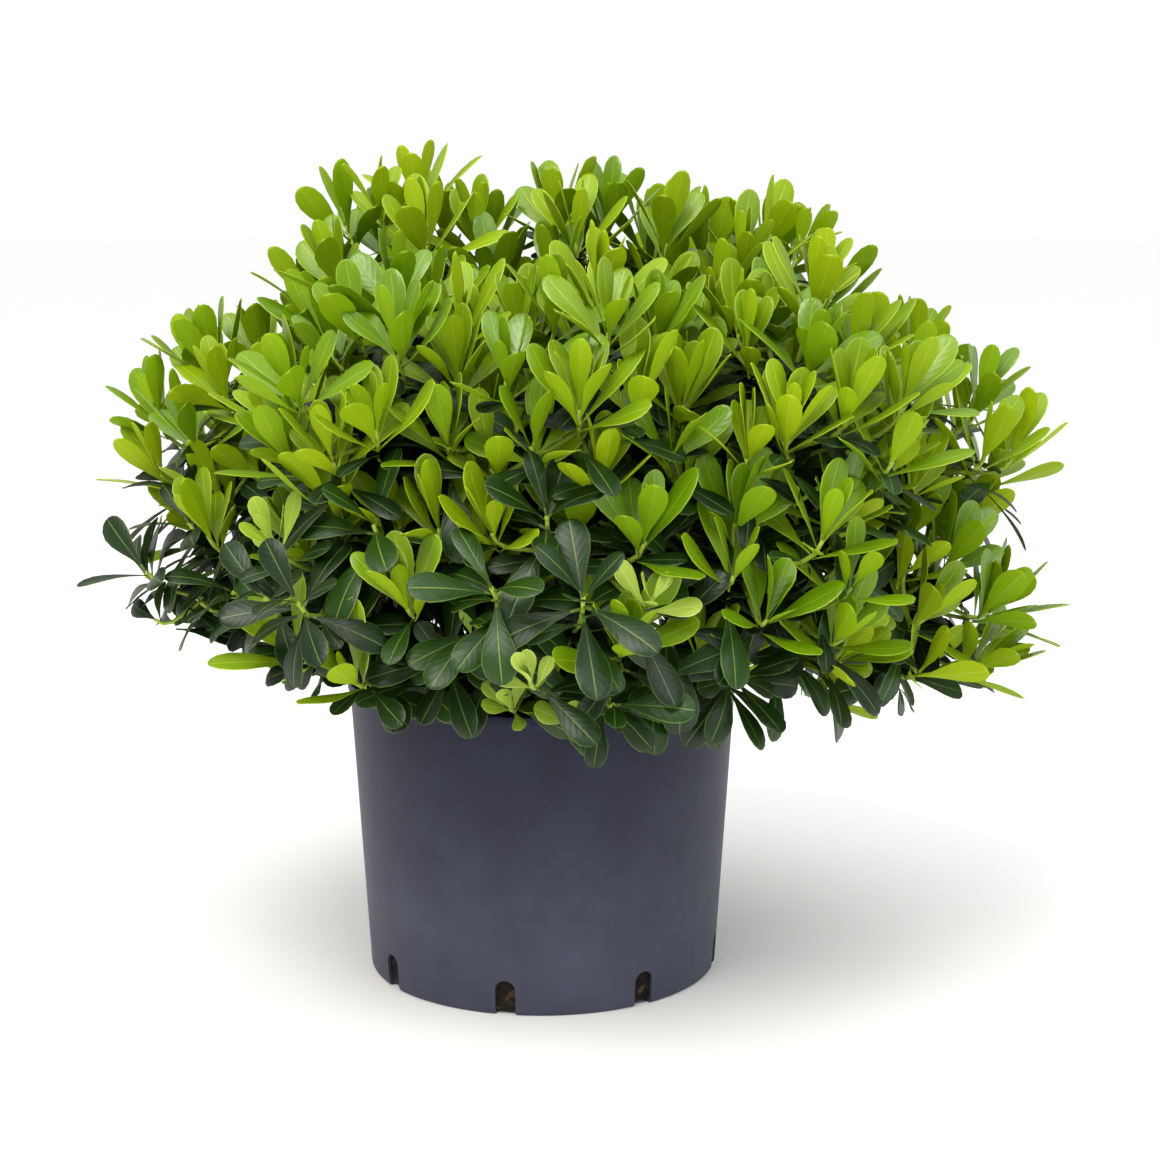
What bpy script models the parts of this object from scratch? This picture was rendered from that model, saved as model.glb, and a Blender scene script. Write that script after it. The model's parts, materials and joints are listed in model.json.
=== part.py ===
"""A dwarf Japanese pittosporum, a mounded evergreen shrub, in a round nursery pot.

The pot stands on the plane z = 0 and its axis is the Z axis. The front of the shrub
looks along -Y. All sizes are in metres.
"""

import math
import random
from dataclasses import dataclass

import bmesh
import bpy
from mathutils import Matrix, Vector
from mathutils.bvhtree import BVHTree

# Gaps between solids that touch on the real plant
TOUCH_GAP = 0.0003
MERGE_DISTANCE = 0.00005
SHORTEST_LINE = 0.0001
LEAST_TURN = 1e-12

# Pot, a thin moulded cone with a small lip and eight drain slots
POT_HEIGHT = 0.212
POT_RIM_RADIUS = 0.1388
POT_BASE_RADIUS = 0.1257
POT_WALL = 0.0022
POT_FLOOR = 0.003
POT_FOOT_ROUND = 0.003
POT_FOOT_STEPS = 3
POT_CLEARANCE = 0.0036
POT_LIP_HEIGHT = 0.0065
POT_LIP_PROUD = 0.0012
POT_STEPS = 40
SLOT_COUNT = 8
SLOT_WIDTH = 0.014
SLOT_HEIGHT = 0.025
SLOT_REACH_IN = 0.0115
SLOT_FIRST_ANGLE = math.radians(-101.0)
SLOT_ARCH_STEPS = 6

# Growing mix
SOIL_TOP = 0.197

# Stem, short and hidden in the crown
STEM_FLARE_RADIUS = 0.0150
STEM_RADIUS = 0.0100
STEM_TIP_RADIUS = 0.0068
STEM_FLARE_HEIGHT = 0.010
STEM_TOP = 0.285
STEM_LEAN = (0.006, -0.004)
STEM_ROUNDNESS = 4

# Boughs, each one tapering limb that ends where it enters its mass
BOUGH_RADIUS = 0.0042
SIDE_BOUGH_RADIUS = 0.0034
BOUGH_TAPER = 0.66
BOUGH_STEPS = 5
BOUGH_BOW = 0.12
LOW_BOUGH_BOW = -0.10
LOW_BOUGH_HEIGHT = 0.30
BOUGH_STAND_OFF = 0.014
LEADER_RUN = 0.012
BOUGH_ROUNDNESS = 1

# Twigs, three-sided, tapering from the stem of a mass to its growing points
CORE_SHARE = 0.41
CORE_SMALLEST = 0.016
CORE_CLEARANCE = 0.003
MASS_STEM_RADIUS = 0.0032
TWIG_RADIUS = 0.0026
TWIG_TAPER = 0.75
FORK_STEP = 0.006

# Growing points, spread over the outer side of each mass
CROWN_HEART = Vector((0.020, 0.0, 0.270))
TIP_DEPTH = 0.050
TIP_SPACING = 0.0515
TIP_TRIES = 160
TIP_FACING = 0.05
TIP_MARGIN = 0.006
TIPS_PER_FORK = 3
FORK_REACH = 0.085
SHOOT_LENGTH = 0.046
FORK_INSET = 0.25
UPWARD_PULL = 0.42

# Leaves, spoon-shaped, in a fan round each growing point
LEAF_LENGTH = 0.070
LEAF_WIDTH = 0.040
LEAF_THICKNESS = 0.0022
LEAF_WIDEST = 0.64
LEAF_SPOTS = (0.3, 0.5, 0.7, 0.85)
LEAF_STEP = 0.0042
LEAVES_PER_SHOOT = 3
LEAF_TRIES = 20
LEAF_SPLAYS = (0.55, 1.00, 0.80, 0.35, 1.25)
LEAF_SIZES = (1.0, 0.86, 0.72)
LIMB_CLEARANCE = 0.0102
UNDERSIDE_HEIGHT = 0.182
UNDERSIDE_START = 0.150
UNDERSIDE_FLARE = 0.36
UNDERSIDE_LEAN = 0.12
SPACE_GAP = 0.0005
GOLDEN_ANGLE = math.pi * (3.0 - math.sqrt(5.0))


@dataclass(frozen=True)
class Mass:
    """One mass of foliage: where its centre is, how far its leaves reach, what carries it."""

    name: str
    centre: Vector
    reach: float
    parent: str
    fork: float
    seed: int


MASSES = (
    Mass("top_left", Vector((-0.087, 0.000, 0.466)), 0.120, "stem", 0.78, 1),
    Mass("top_centre", Vector((0.040, 0.005, 0.477)), 0.112, "stem", 1.00, 1),
    Mass("top_right", Vector((0.150, 0.000, 0.464)), 0.109, "stem", 0.70, 1),
    Mass("side_left", Vector((-0.207, 0.005, 0.378)), 0.113, "top_left", 0.35, 1),
    Mass("side_right", Vector((0.250, 0.005, 0.366)), 0.121, "stem", 0.60, 1),
    Mass("skirt_left", Vector((-0.212, -0.040, 0.292)), 0.108, "stem", 0.30, 1),
    Mass("skirt_right", Vector((0.262, -0.045, 0.264)), 0.102, "side_right", 0.32, 1),
    Mass("front_low_left", Vector((-0.100, -0.180, 0.302)), 0.114, "stem", 0.38, 1),
    Mass("front_low_centre", Vector((0.020, -0.212, 0.298)), 0.116, "stem", 0.22, 1),
    Mass("front_low_right", Vector((0.144, -0.172, 0.303)), 0.111, "stem", 0.54, 1),
    Mass("front_mid_left", Vector((-0.092, -0.140, 0.400)), 0.124, "front_mid_centre", 0.45, 1),
    Mass("front_mid_centre", Vector((0.032, -0.165, 0.412)), 0.124, "stem", 0.72, 1),
    Mass("front_mid_right", Vector((0.160, -0.140, 0.398)), 0.124, "front_mid_centre", 0.32, 1),
    Mass("back_low_left", Vector((-0.125, 0.170, 0.288)), 0.124, "stem", 0.50, 1),
    Mass("back_low_right", Vector((0.165, 0.170, 0.288)), 0.126, "stem", 0.42, 1),
    Mass("back_low_centre", Vector((0.020, 0.205, 0.292)), 0.118, "stem", 0.26, 1),
    Mass("back_mid_left", Vector((-0.080, 0.135, 0.402)), 0.126, "back_mid_right", 0.32, 1),
    Mass("back_mid_right", Vector((0.110, 0.145, 0.404)), 0.130, "stem", 0.66, 1),
)


@dataclass
class Limb:
    """A tapering limb as a row of points, each with its radius."""

    name: str
    points: list
    radii: list

    def place(self, share: float) -> tuple:
        """The piece of the limb, and the share along it, at a share of its length."""
        pairs = list(zip(self.points, self.points[1:]))
        left = share * sum((head - foot).length for foot, head in pairs)
        for index, (foot, head) in enumerate(pairs):
            length = (head - foot).length
            if left <= length or index == len(pairs) - 1:
                return index, min(1.0, left / length)
            left -= length

    def at(self, share: float) -> Vector:
        """The point at a share of the limb's length, 0 at its foot and 1 at its tip."""
        index, along = self.place(share)
        return self.points[index].lerp(self.points[index + 1], along)

    def radius_at(self, share: float) -> float:
        """The radius at a share of the limb's length."""
        index, along = self.place(share)
        return self.radii[index] + (self.radii[index + 1] - self.radii[index]) * along


@dataclass
class Shoot:
    """One growing point: where its twig starts and ends, and which way its leaves fan out."""

    fork: Vector
    tip: Vector
    aim: Vector
    phase: float


def clear_scene() -> None:
    """Remove every object that the file opened with."""
    for old in list(bpy.data.objects):
        bpy.data.objects.remove(old, do_unlink=True)


def new_collection(name: str) -> bpy.types.Collection:
    """Make a collection in the scene."""
    made = bpy.data.collections.new(name)
    bpy.context.scene.collection.children.link(made)
    return made


def finish(name: str, colour: tuple, roughness: float, specular: float = 0.5) -> bpy.types.Material:
    """A Principled material of one colour for a sub-part."""
    made = bpy.data.materials.new(name)
    made.use_nodes = True
    shader = made.node_tree.nodes["Principled BSDF"]
    shader.inputs["Base Color"].default_value = (*colour, 1.0)
    shader.inputs["Roughness"].default_value = roughness
    shader.inputs["Metallic"].default_value = 0.0
    shader.inputs["Specular IOR Level"].default_value = specular
    return made


def adopt(made: bpy.types.Object, home: bpy.types.Collection, look: bpy.types.Material) -> None:
    """Give a sub-part its collection and its material."""
    for owner in list(made.users_collection):
        owner.objects.unlink(made)
    home.objects.link(made)
    made.data.materials.clear()
    made.data.materials.append(look)


def as_mesh(curve_object: bpy.types.Object) -> bpy.types.Object:
    """Turn a curve object into a welded mesh object of the same name."""
    bpy.context.view_layer.update()
    seen = curve_object.evaluated_get(bpy.context.evaluated_depsgraph_get())
    mesh = bpy.data.meshes.new_from_object(seen)
    body = bmesh.new()
    body.from_mesh(mesh)
    bmesh.ops.remove_doubles(body, verts=body.verts, dist=MERGE_DISTANCE)
    bmesh.ops.recalc_face_normals(body, faces=body.faces)
    body.to_mesh(mesh)
    body.free()
    name = curve_object.name
    place = curve_object.matrix_world.copy()
    home = curve_object.users_collection[0]
    bpy.data.objects.remove(curve_object, do_unlink=True)
    made = bpy.data.objects.new(name, mesh)
    made.matrix_world = place
    home.objects.link(made)
    return made


def turned(name: str, profile: list, home: bpy.types.Collection) -> bpy.types.Object:
    """Turn a profile about the Z axis; it runs down the outer side from +X."""
    mesh = bpy.data.meshes.new(name)
    edges = [(i, i + 1) for i in range(len(profile) - 1)]
    mesh.from_pydata([(x, 0.0, z) for x, z in profile], edges, [])
    made = bpy.data.objects.new(name, mesh)
    home.objects.link(made)
    screw = made.modifiers.new("turn", "SCREW")
    screw.axis = "Z"
    screw.angle = math.tau
    screw.steps = POT_STEPS
    screw.render_steps = POT_STEPS
    screw.use_merge_vertices = True
    screw.merge_threshold = MERGE_DISTANCE
    return made


def tube(limb: Limb, roundness: int, home: bpy.types.Collection, grow: float = 0.0):
    """A closed tapering tube along a limb, grown all round by a gap."""
    curve = bpy.data.curves.new(limb.name, "CURVE")
    curve.dimensions = "3D"
    curve.bevel_depth = 1.0
    curve.bevel_resolution = roundness
    curve.use_fill_caps = True
    spline = curve.splines.new("POLY")
    spline.points.add(len(limb.points) - 1)
    for point, place, radius in zip(spline.points, limb.points, limb.radii):
        point.co = (*place, 1.0)
        point.radius = radius + grow
    made = bpy.data.objects.new(limb.name, curve)
    home.objects.link(made)
    return as_mesh(made)


def guide(made: bpy.types.Object) -> None:
    """Show a cutter as wire and leave it out of the render."""
    made.hide_render = True
    made.display_type = "WIRE"


def wall_radius(height: float) -> float:
    """Outer radius of the pot's cone at a height."""
    return POT_BASE_RADIUS + (POT_RIM_RADIUS - POT_BASE_RADIUS) * height / POT_HEIGHT


def make_pot(home, cutters, look) -> bpy.types.Object:
    """The pot's shell: lip, cone, rounded foot, flat floor and drain slots."""
    foot = []
    for step in range(POT_FOOT_STEPS + 1):
        turn = math.radians(90.0) * step / POT_FOOT_STEPS
        foot.append(
            (
                wall_radius(POT_FOOT_ROUND) - POT_FOOT_ROUND * (1.0 - math.cos(turn)),
                POT_FOOT_ROUND * (1.0 - math.sin(turn)),
            )
        )
    lip_outer = POT_RIM_RADIUS + POT_LIP_PROUD
    profile = [
        (0.0, POT_FLOOR),
        (wall_radius(POT_FLOOR) - POT_WALL, POT_FLOOR),
        (POT_RIM_RADIUS - POT_WALL, POT_HEIGHT),
        (lip_outer - POT_LIP_PROUD / 2, POT_HEIGHT),
        (lip_outer, POT_HEIGHT - POT_LIP_PROUD),
        (lip_outer, POT_HEIGHT - POT_LIP_HEIGHT),
        (wall_radius(POT_HEIGHT - POT_LIP_HEIGHT), POT_HEIGHT - POT_LIP_HEIGHT - POT_LIP_PROUD),
        *foot,
        (0.0, 0.0),
    ]
    pot = turned("pot", profile, home)
    slots = new_collection("slot_cutters")
    for index in range(SLOT_COUNT):
        angle = SLOT_FIRST_ANGLE + math.tau * index / SLOT_COUNT
        slots.objects.link(make_slot_cutter(index, angle, cutters))
    cut = pot.modifiers.new("drain slots", "BOOLEAN")
    cut.operation = "DIFFERENCE"
    cut.operand_type = "COLLECTION"
    cut.collection = slots
    adopt(pot, home, look)
    return pot


def make_slot_cutter(index: int, angle: float, cutters) -> bpy.types.Object:
    """A door-shaped cutter with a round head, set radially through the pot's foot."""
    half = SLOT_WIDTH / 2
    outline = [(-half, -POT_FLOOR), (half, -POT_FLOOR)]
    for step in range(SLOT_ARCH_STEPS + 1):
        turn = math.pi * step / SLOT_ARCH_STEPS
        outline.append((half * math.cos(turn), SLOT_HEIGHT - half + half * math.sin(turn)))
    curve = bpy.data.curves.new(f"slot_cutter_{index}", "CURVE")
    curve.dimensions = "2D"
    curve.fill_mode = "BOTH"
    curve.extrude = SLOT_REACH_IN
    spline = curve.splines.new("POLY")
    spline.points.add(len(outline) - 1)
    for point, (across, up) in zip(spline.points, outline):
        point.co = (across, up, 0.0, 1.0)
    spline.use_cyclic_u = True
    cutter = bpy.data.objects.new(f"slot_cutter_{index}", curve)
    cutters.objects.link(cutter)
    upright = Matrix.Rotation(math.radians(90.0), 4, "X")
    turned_round = Matrix.Rotation(angle + math.radians(90.0), 4, "Z")
    outward = Vector((math.cos(angle), math.sin(angle), 0.0)) * POT_BASE_RADIUS
    cutter.matrix_world = Matrix.Translation(outward) @ turned_round @ upright
    cutter = as_mesh(cutter)
    guide(cutter)
    return cutter


def make_soil(home, look) -> bpy.types.Object:
    """The growing mix that fills the pot, a hair clear of its wall and floor."""
    side_gap = POT_WALL + TOUCH_GAP
    bottom = POT_FLOOR + TOUCH_GAP
    profile = [
        (0.0, SOIL_TOP),
        (wall_radius(SOIL_TOP) - side_gap, SOIL_TOP),
        (wall_radius(bottom) - side_gap, bottom),
        (0.0, bottom),
    ]
    soil = turned("soil", profile, home)
    adopt(soil, home, look)
    return soil


def stem_limb() -> Limb:
    """The short stem: a flared foot cut flat on the growing mix, then a leaning taper."""
    foot = SOIL_TOP + TOUCH_GAP
    neck = foot + STEM_FLARE_HEIGHT
    lean = Vector((*STEM_LEAN, 0.0))
    heights = [foot, foot + STEM_FLARE_HEIGHT / 2, neck, (neck + STEM_TOP) / 2, STEM_TOP]
    radii = [
        STEM_FLARE_RADIUS,
        (STEM_FLARE_RADIUS + 2 * STEM_RADIUS) / 3,
        STEM_RADIUS,
        (STEM_RADIUS + STEM_TIP_RADIUS) / 2,
        STEM_TIP_RADIUS,
    ]
    points = []
    for height in heights:
        share = max(0.0, (height - neck) / (STEM_TOP - neck))
        points.append(Vector((0.0, 0.0, height)) + lean * share)
    return Limb("stem", points, radii)


def bough_limb(mass: Mass, parent: Limb, core: float) -> Limb:
    """One bough: from its parent's heart in a bow to where it enters its mass."""
    start = parent.at(mass.fork)
    points = []
    radii = []
    radius = BOUGH_RADIUS if parent.name == "stem" else SIDE_BOUGH_RADIUS
    if mass.fork >= 1.0:
        radius = STEM_TIP_RADIUS
        onward = (parent.points[-1] - parent.points[-2]).normalized()
        points.append(start + onward * TOUCH_GAP)
        radii.append(radius)
        start = start + onward * LEADER_RUN
    bow = LOW_BOUGH_BOW if mass.centre.z < LOW_BOUGH_HEIGHT else BOUGH_BOW
    run = mass.centre - start
    middle = start.lerp(mass.centre, 0.5) - Vector((0.0, 0.0, run.length * bow))
    arrive = (mass.centre - middle).normalized()
    end = mass.centre - arrive * (core + BOUGH_STAND_OFF)
    for step in range(BOUGH_STEPS):
        share = step / (BOUGH_STEPS - 1)
        first = start.lerp(middle, share)
        second = middle.lerp(end, share)
        points.append(first.lerp(second, share))
        radii.append(radius * (1.0 - (1.0 - BOUGH_TAPER) * share))
    return Limb(f"bough_{mass.name}", points, radii)


def segment_gap(a: Vector, b: Vector, c: Vector, d: Vector) -> float:
    """Shortest distance between the straight lines a-b and c-d."""
    u = b - a
    v = d - c
    w = a - c
    uu = u.dot(u)
    uv = u.dot(v)
    vv = v.dot(v)
    uw = u.dot(w)
    vw = v.dot(w)
    det = uu * vv - uv * uv
    s = 0.0
    if det > LEAST_TURN:
        s = min(1.0, max(0.0, (uv * vw - vv * uw) / det))
    t = (uv * s + vw) / vv
    t = min(1.0, max(0.0, t))
    s = min(1.0, max(0.0, (uv * t - uw) / uu))
    return (a + u * s - c - v * t).length


def clear_of_limbs(start: Vector, end: Vector, room: float, limbs: list) -> bool:
    """True where the straight line start-end keeps its room to every limb."""
    for limb in limbs:
        for index in range(len(limb.points) - 1):
            foot = limb.points[index]
            head = limb.points[index + 1]
            if segment_gap(start, end, foot, head) < limb.radii[index] + room:
                return False
    return True


def underside(point: Vector) -> float:
    """Height of the crown's underside over a place: it rises outward and to the left."""
    beyond = max(0.0, math.hypot(point.x, point.y) - UNDERSIDE_START)
    return UNDERSIDE_HEIGHT + UNDERSIDE_FLARE * beyond - UNDERSIDE_LEAN * point.x


def room_in_space(mass: Mass, point: Vector) -> float:
    """How deep a point lies inside a mass's own space; negative outside it."""
    offset = point - mass.centre
    room = min(mass.reach - offset.length, point.z - underside(point))
    power = offset.length_squared - mass.reach**2
    for other in MASSES:
        if other is mass:
            continue
        apart = other.centre - mass.centre
        other_power = (point - other.centre).length_squared - other.reach**2
        room = min(room, (other_power - power) / (2.0 * apart.length))
    return room


def clear_of_pot(point: Vector) -> bool:
    """True where a point is outside the pot and above its rim and filling."""
    beside = math.hypot(point.x, point.y) > POT_RIM_RADIUS + POT_CLEARANCE
    return beside or point.z > POT_HEIGHT + POT_CLEARANCE


def core_radius(mass: Mass, limbs: list) -> float:
    """Radius of the dense heart of a mass, kept clear of borders and passing limbs."""
    radius = min(mass.reach * CORE_SHARE, room_in_space(mass, mass.centre) - SPACE_GAP)
    low = mass.centre
    high = low + Vector((0.0, 0.0, SHORTEST_LINE))
    for limb in limbs:
        pieces = zip(limb.points, limb.points[1:], limb.radii)
        for foot, head, thickness in pieces:
            gap = segment_gap(low, high, foot, head) - thickness
            radius = min(radius, gap - CORE_CLEARANCE)
    return radius


def growing_points(mass: Mass, taken: list) -> list:
    """Places of the growing points on the outer side of a mass, evenly apart."""
    places = []
    depth = mass.reach - TIP_DEPTH
    for index in range(TIP_TRIES):
        height = 1.0 - (2 * index + 1) / TIP_TRIES
        ring = math.sqrt(1.0 - height * height)
        turn = index * GOLDEN_ANGLE
        aim = Vector((ring * math.cos(turn), ring * math.sin(turn), height))
        place = mass.centre + aim * depth
        outward = (place - CROWN_HEART).normalized()
        if aim.dot(outward) < TIP_FACING:
            continue
        if room_in_space(mass, place) < TIP_MARGIN:
            continue
        if any((place - other).length < TIP_SPACING for other in taken):
            continue
        places.append(place)
        taken.append(place)
    return places


def forks(places: list) -> list:
    """Group growing points into threes by nearness; each group shares one fork."""
    left = list(places)
    groups = []
    while left:
        first = left.pop(0)
        near = sorted(left, key=lambda other: (other - first).length)
        group = [first]
        for other in near[: TIPS_PER_FORK - 1]:
            if (other - first).length < FORK_REACH:
                group.append(other)
                left.remove(other)
        groups.append(group)
    return groups


def shoots_of(mass: Mass, places: list, rng: random.Random) -> list:
    """The shoots of a mass: from each fork a twig runs out to its growing points."""
    shoots = []
    for group in forks(places):
        mean = sum(group, Vector()) / len(group)
        outward = (mean - CROWN_HEART).normalized()
        fork = mean - outward * SHOOT_LENGTH
        fork = fork.lerp(mass.centre, FORK_INSET)
        for tip in group:
            away = (tip - CROWN_HEART).normalized()
            aim = away.lerp(Vector((0.0, 0.0, 1.0)), UPWARD_PULL).normalized()
            shoots.append(Shoot(fork, tip, aim, rng.uniform(0.0, math.tau)))
    return shoots


def prism(name: str, start: Vector, end: Vector, wide: float, narrow: float, home):
    """A tapering three-sided twig from start to end."""
    run = end - start
    body = bmesh.new()
    bmesh.ops.create_cone(
        body, cap_ends=True, segments=3, radius1=wide, radius2=narrow, depth=run.length
    )
    mesh = bpy.data.meshes.new(name)
    body.to_mesh(mesh)
    body.free()
    made = bpy.data.objects.new(name, mesh)
    turn = run.to_track_quat("Z", "X").to_matrix().to_4x4()
    made.matrix_world = Matrix.Translation((start + end) / 2) @ turn
    home.objects.link(made)
    return made


def leaf_mesh() -> bpy.types.Mesh:
    """An eight-sided spoon-shaped blade of unit length, root at zero, tip along Z."""
    body = bmesh.new()
    bmesh.ops.create_uvsphere(body, u_segments=4, v_segments=2, radius=1.0)
    for vertex in body.verts:
        across, thick, along = vertex.co
        on_waist = abs(along) < 0.5
        place = LEAF_WIDEST if on_waist else (along + 1.0) / 2
        vertex.co = (
            across * LEAF_WIDTH / LEAF_LENGTH / 2,
            thick * LEAF_THICKNESS / LEAF_LENGTH / 2,
            place,
        )
    mesh = bpy.data.meshes.new("leaf")
    body.to_mesh(mesh)
    body.free()
    return mesh


def leaf_frame(root: Vector, along: Vector, stem_way: Vector, size: float) -> Matrix:
    """A leaf's place: root, length along its own way, upper face turned to the shoot."""
    side = stem_way.cross(along).normalized()
    face = along.cross(side).normalized()
    turn = Matrix((side, face, along)).transposed().to_4x4()
    return Matrix.Translation(root) @ turn @ Matrix.Scale(LEAF_LENGTH * size, 4)


def leaf_fits(mass: Mass, place: Matrix, blade: bpy.types.Mesh, limbs: list) -> bool:
    """True where a leaf stays in its mass's space and clear of limbs and pot."""
    corners = [place @ vertex.co for vertex in blade.vertices]
    if any(room_in_space(mass, corner) < SPACE_GAP for corner in corners):
        return False
    root = place @ Vector((0.0, 0.0, 0.0))
    tip = place @ Vector((0.0, 0.0, 1.0))
    left = place @ Vector((LEAF_WIDTH / LEAF_LENGTH / 2, 0.0, LEAF_WIDEST))
    right = place @ Vector((-LEAF_WIDTH / LEAF_LENGTH / 2, 0.0, LEAF_WIDEST))
    spots = [root.lerp(tip, share) for share in LEAF_SPOTS]
    if not all(clear_of_pot(spot) for spot in (*corners, *spots)):
        return False
    for foot, head in ((root, tip), (root, left), (left, tip), (root, right), (right, tip)):
        if not clear_of_limbs(foot, head, LIMB_CLEARANCE, limbs):
            return False
    return True


def skin_of(mesh: bpy.types.Mesh, place: Matrix) -> BVHTree:
    """The faces of a twig or leaf in its place, to test what crosses it."""
    corners = [place @ vertex.co for vertex in mesh.vertices]
    return BVHTree.FromPolygons(corners, [tuple(face.vertices) for face in mesh.polygons])


def add_leaves(mass: Mass, shoot: Shoot, own: BVHTree, blade, limbs, skins, parts) -> None:
    """Set leaves round one growing point, each a step lower than the last."""
    side = shoot.aim.orthogonal().normalized()
    back = (shoot.fork - shoot.tip).normalized()
    count = 0
    for index in range(LEAF_TRIES):
        if count == LEAVES_PER_SHOOT:
            break
        splay = LEAF_SPLAYS[index % len(LEAF_SPLAYS)]
        turn = Matrix.Rotation(shoot.phase + index * GOLDEN_ANGLE, 3, shoot.aim)
        radial = turn @ side
        along = shoot.aim * math.cos(splay) + radial * math.sin(splay)
        root = shoot.tip + back * LEAF_STEP * (count + 0.5)
        for size in LEAF_SIZES:
            place = leaf_frame(root, along, shoot.aim, size)
            if not leaf_fits(mass, place, blade, limbs):
                continue
            skin = skin_of(blade, place)
            if any(skin.overlap(other) for other in skins if other is not own):
                continue
            leaf = bpy.data.objects.new(f"leaf_{mass.name}", blade)
            leaf.matrix_world = place
            parts.objects.link(leaf)
            skins.append(skin)
            count += 1
            break


def make_core(mass: Mass, radius: float) -> bpy.types.Object:
    """The dense heart of a mass, a small faceted ball that its leaves stand out of."""
    body = bmesh.new()
    bmesh.ops.create_icosphere(body, subdivisions=1, radius=radius)
    mesh = bpy.data.meshes.new(f"mass_{mass.name}")
    body.to_mesh(mesh)
    body.free()
    made = bpy.data.objects.new(f"mass_{mass.name}", mesh)
    made.matrix_world = Matrix.Translation(mass.centre)
    return made


def keep_outer_shell(made: bpy.types.Object) -> None:
    """Drop scraps and the walls of sealed hollows, so that one closed shell is left."""
    body = bmesh.new()
    body.from_mesh(made.data)
    unseen = set(body.faces)
    shells = []
    while unseen:
        todo = [unseen.pop()]
        shell = list(todo)
        while todo:
            face = todo.pop()
            for edge in face.edges:
                for other in edge.link_faces:
                    if other in unseen:
                        unseen.remove(other)
                        shell.append(other)
                        todo.append(other)
        shells.append(shell)
    shells.sort(key=len, reverse=True)
    scraps = [face for shell in shells[1:] for face in shell]
    bmesh.ops.delete(body, geom=scraps, context="FACES")
    body.to_mesh(made.data)
    body.free()


def join(base: bpy.types.Object, parts: bpy.types.Collection) -> None:
    """Fuse a mass's twigs and leaves into its heart, then remove the loose ones."""
    union = base.modifiers.new("fuse", "BOOLEAN")
    union.operation = "UNION"
    union.operand_type = "COLLECTION"
    union.collection = parts
    union.solver = "MANIFOLD"
    bpy.context.view_layer.update()
    for other in bpy.context.selected_objects:
        other.select_set(False)
    bpy.context.view_layer.objects.active = base
    bpy.ops.object.modifier_apply(modifier=union.name)
    for part in list(parts.objects):
        bpy.data.objects.remove(part, do_unlink=True)
    bpy.data.collections.remove(parts)
    keep_outer_shell(base)


def make_mass(mass: Mass, bough: Limb, limbs: list, places: list, blade, home, look) -> None:
    """One mass: a stem that meets its bough, forked twigs, leaves, and a dense heart."""
    rng = random.Random(mass.seed)
    radius = max(core_radius(mass, limbs), CORE_SMALLEST)
    base = make_core(mass, radius)
    home.objects.link(base)
    parts = new_collection(f"parts_{mass.name}")
    arrive = (bough.points[-1] - bough.points[-2]).normalized()
    foot = bough.points[-1] + arrive * TOUCH_GAP
    prism("mass_stem", foot, mass.centre, MASS_STEM_RADIUS, TWIG_RADIUS, parts)
    shoots = shoots_of(mass, places, rng)
    shoots = [shoot for shoot in shoots if clear_of_limbs(shoot.fork, shoot.tip, TWIG_RADIUS, limbs)]
    skins = [skin_of(base.data, base.matrix_world)]
    drawn = []
    own = []
    for shoot in shoots:
        if shoot.fork not in drawn:
            drawn.append(shoot.fork)
            limb_way = (shoot.fork - mass.centre).normalized()
            reach = shoot.fork + limb_way * FORK_STEP / 2
            prism("limb_twig", mass.centre, reach, TWIG_RADIUS, TWIG_RADIUS * TWIG_TAPER, parts)
            step = 0
        start = shoot.fork - limb_way * FORK_STEP * step
        step += 1
        wide = TWIG_RADIUS * TWIG_TAPER
        twig = prism("shoot", start, shoot.tip, wide, wide * TWIG_TAPER, parts)
        own.append(skin_of(twig.data, twig.matrix_world))
    skins.extend(own)
    for shoot, twig_skin in zip(shoots, own):
        add_leaves(mass, shoot, twig_skin, blade, limbs, skins, parts)
    join(base, parts)
    adopt(base, home, look)


def grow_limbs() -> dict:
    """Every limb by name: the stem, then the boughs after what carries them."""
    grown = {"stem": stem_limb()}
    waiting = list(MASSES)
    while waiting:
        mass = waiting.pop(0)
        if mass.parent not in grown:
            waiting.append(mass)
            continue
        grown[mass.name] = bough_limb(mass, grown[mass.parent], mass.reach * CORE_SHARE)
    return grown


def make_limbs(grown: dict, home, cutters, look) -> None:
    """The stem and the boughs, each bough cut to fit against what carries it."""
    stem = tube(grown["stem"], STEM_ROUNDNESS, home)
    adopt(stem, home, look)
    for mass in MASSES:
        limb = grown[mass.name]
        bough = tube(limb, BOUGH_ROUNDNESS, home)
        adopt(bough, home, look)
        if mass.fork >= 1.0:
            continue
        parent = grown[mass.parent]
        roundness = STEM_ROUNDNESS if mass.parent == "stem" else BOUGH_ROUNDNESS
        saddle = tube(parent, roundness, cutters, TOUCH_GAP)
        saddle.name = f"saddle_{mass.name}"
        guide(saddle)
        cut = bough.modifiers.new("saddle", "BOOLEAN")
        cut.operation = "DIFFERENCE"
        cut.object = saddle


def main() -> None:
    """Build the pot, its filling, the limbs and the foliage."""
    clear_scene()
    home = new_collection("dwarf_pittosporum_in_pot")
    cutters = new_collection("cutters")
    plastic = finish("moulded plastic", (0.045, 0.048, 0.062), 0.55)
    mix = finish("bark growing mix", (0.018, 0.013, 0.009), 0.95, 0.2)
    bark = finish("young bark", (0.105, 0.085, 0.055), 0.80, 0.3)
    leaf_green = finish("leaf green", (0.150, 0.260, 0.020), 0.42)
    make_pot(home, cutters, plastic)
    make_soil(home, mix)
    grown = grow_limbs()
    make_limbs(grown, home, cutters, bark)
    taken = []
    blade = leaf_mesh()
    for mass in MASSES:
        places = growing_points(mass, taken)
        make_mass(mass, grown[mass.name], list(grown.values()), places, blade, home, leaf_green)
    bpy.data.meshes.remove(blade)


main()
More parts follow.
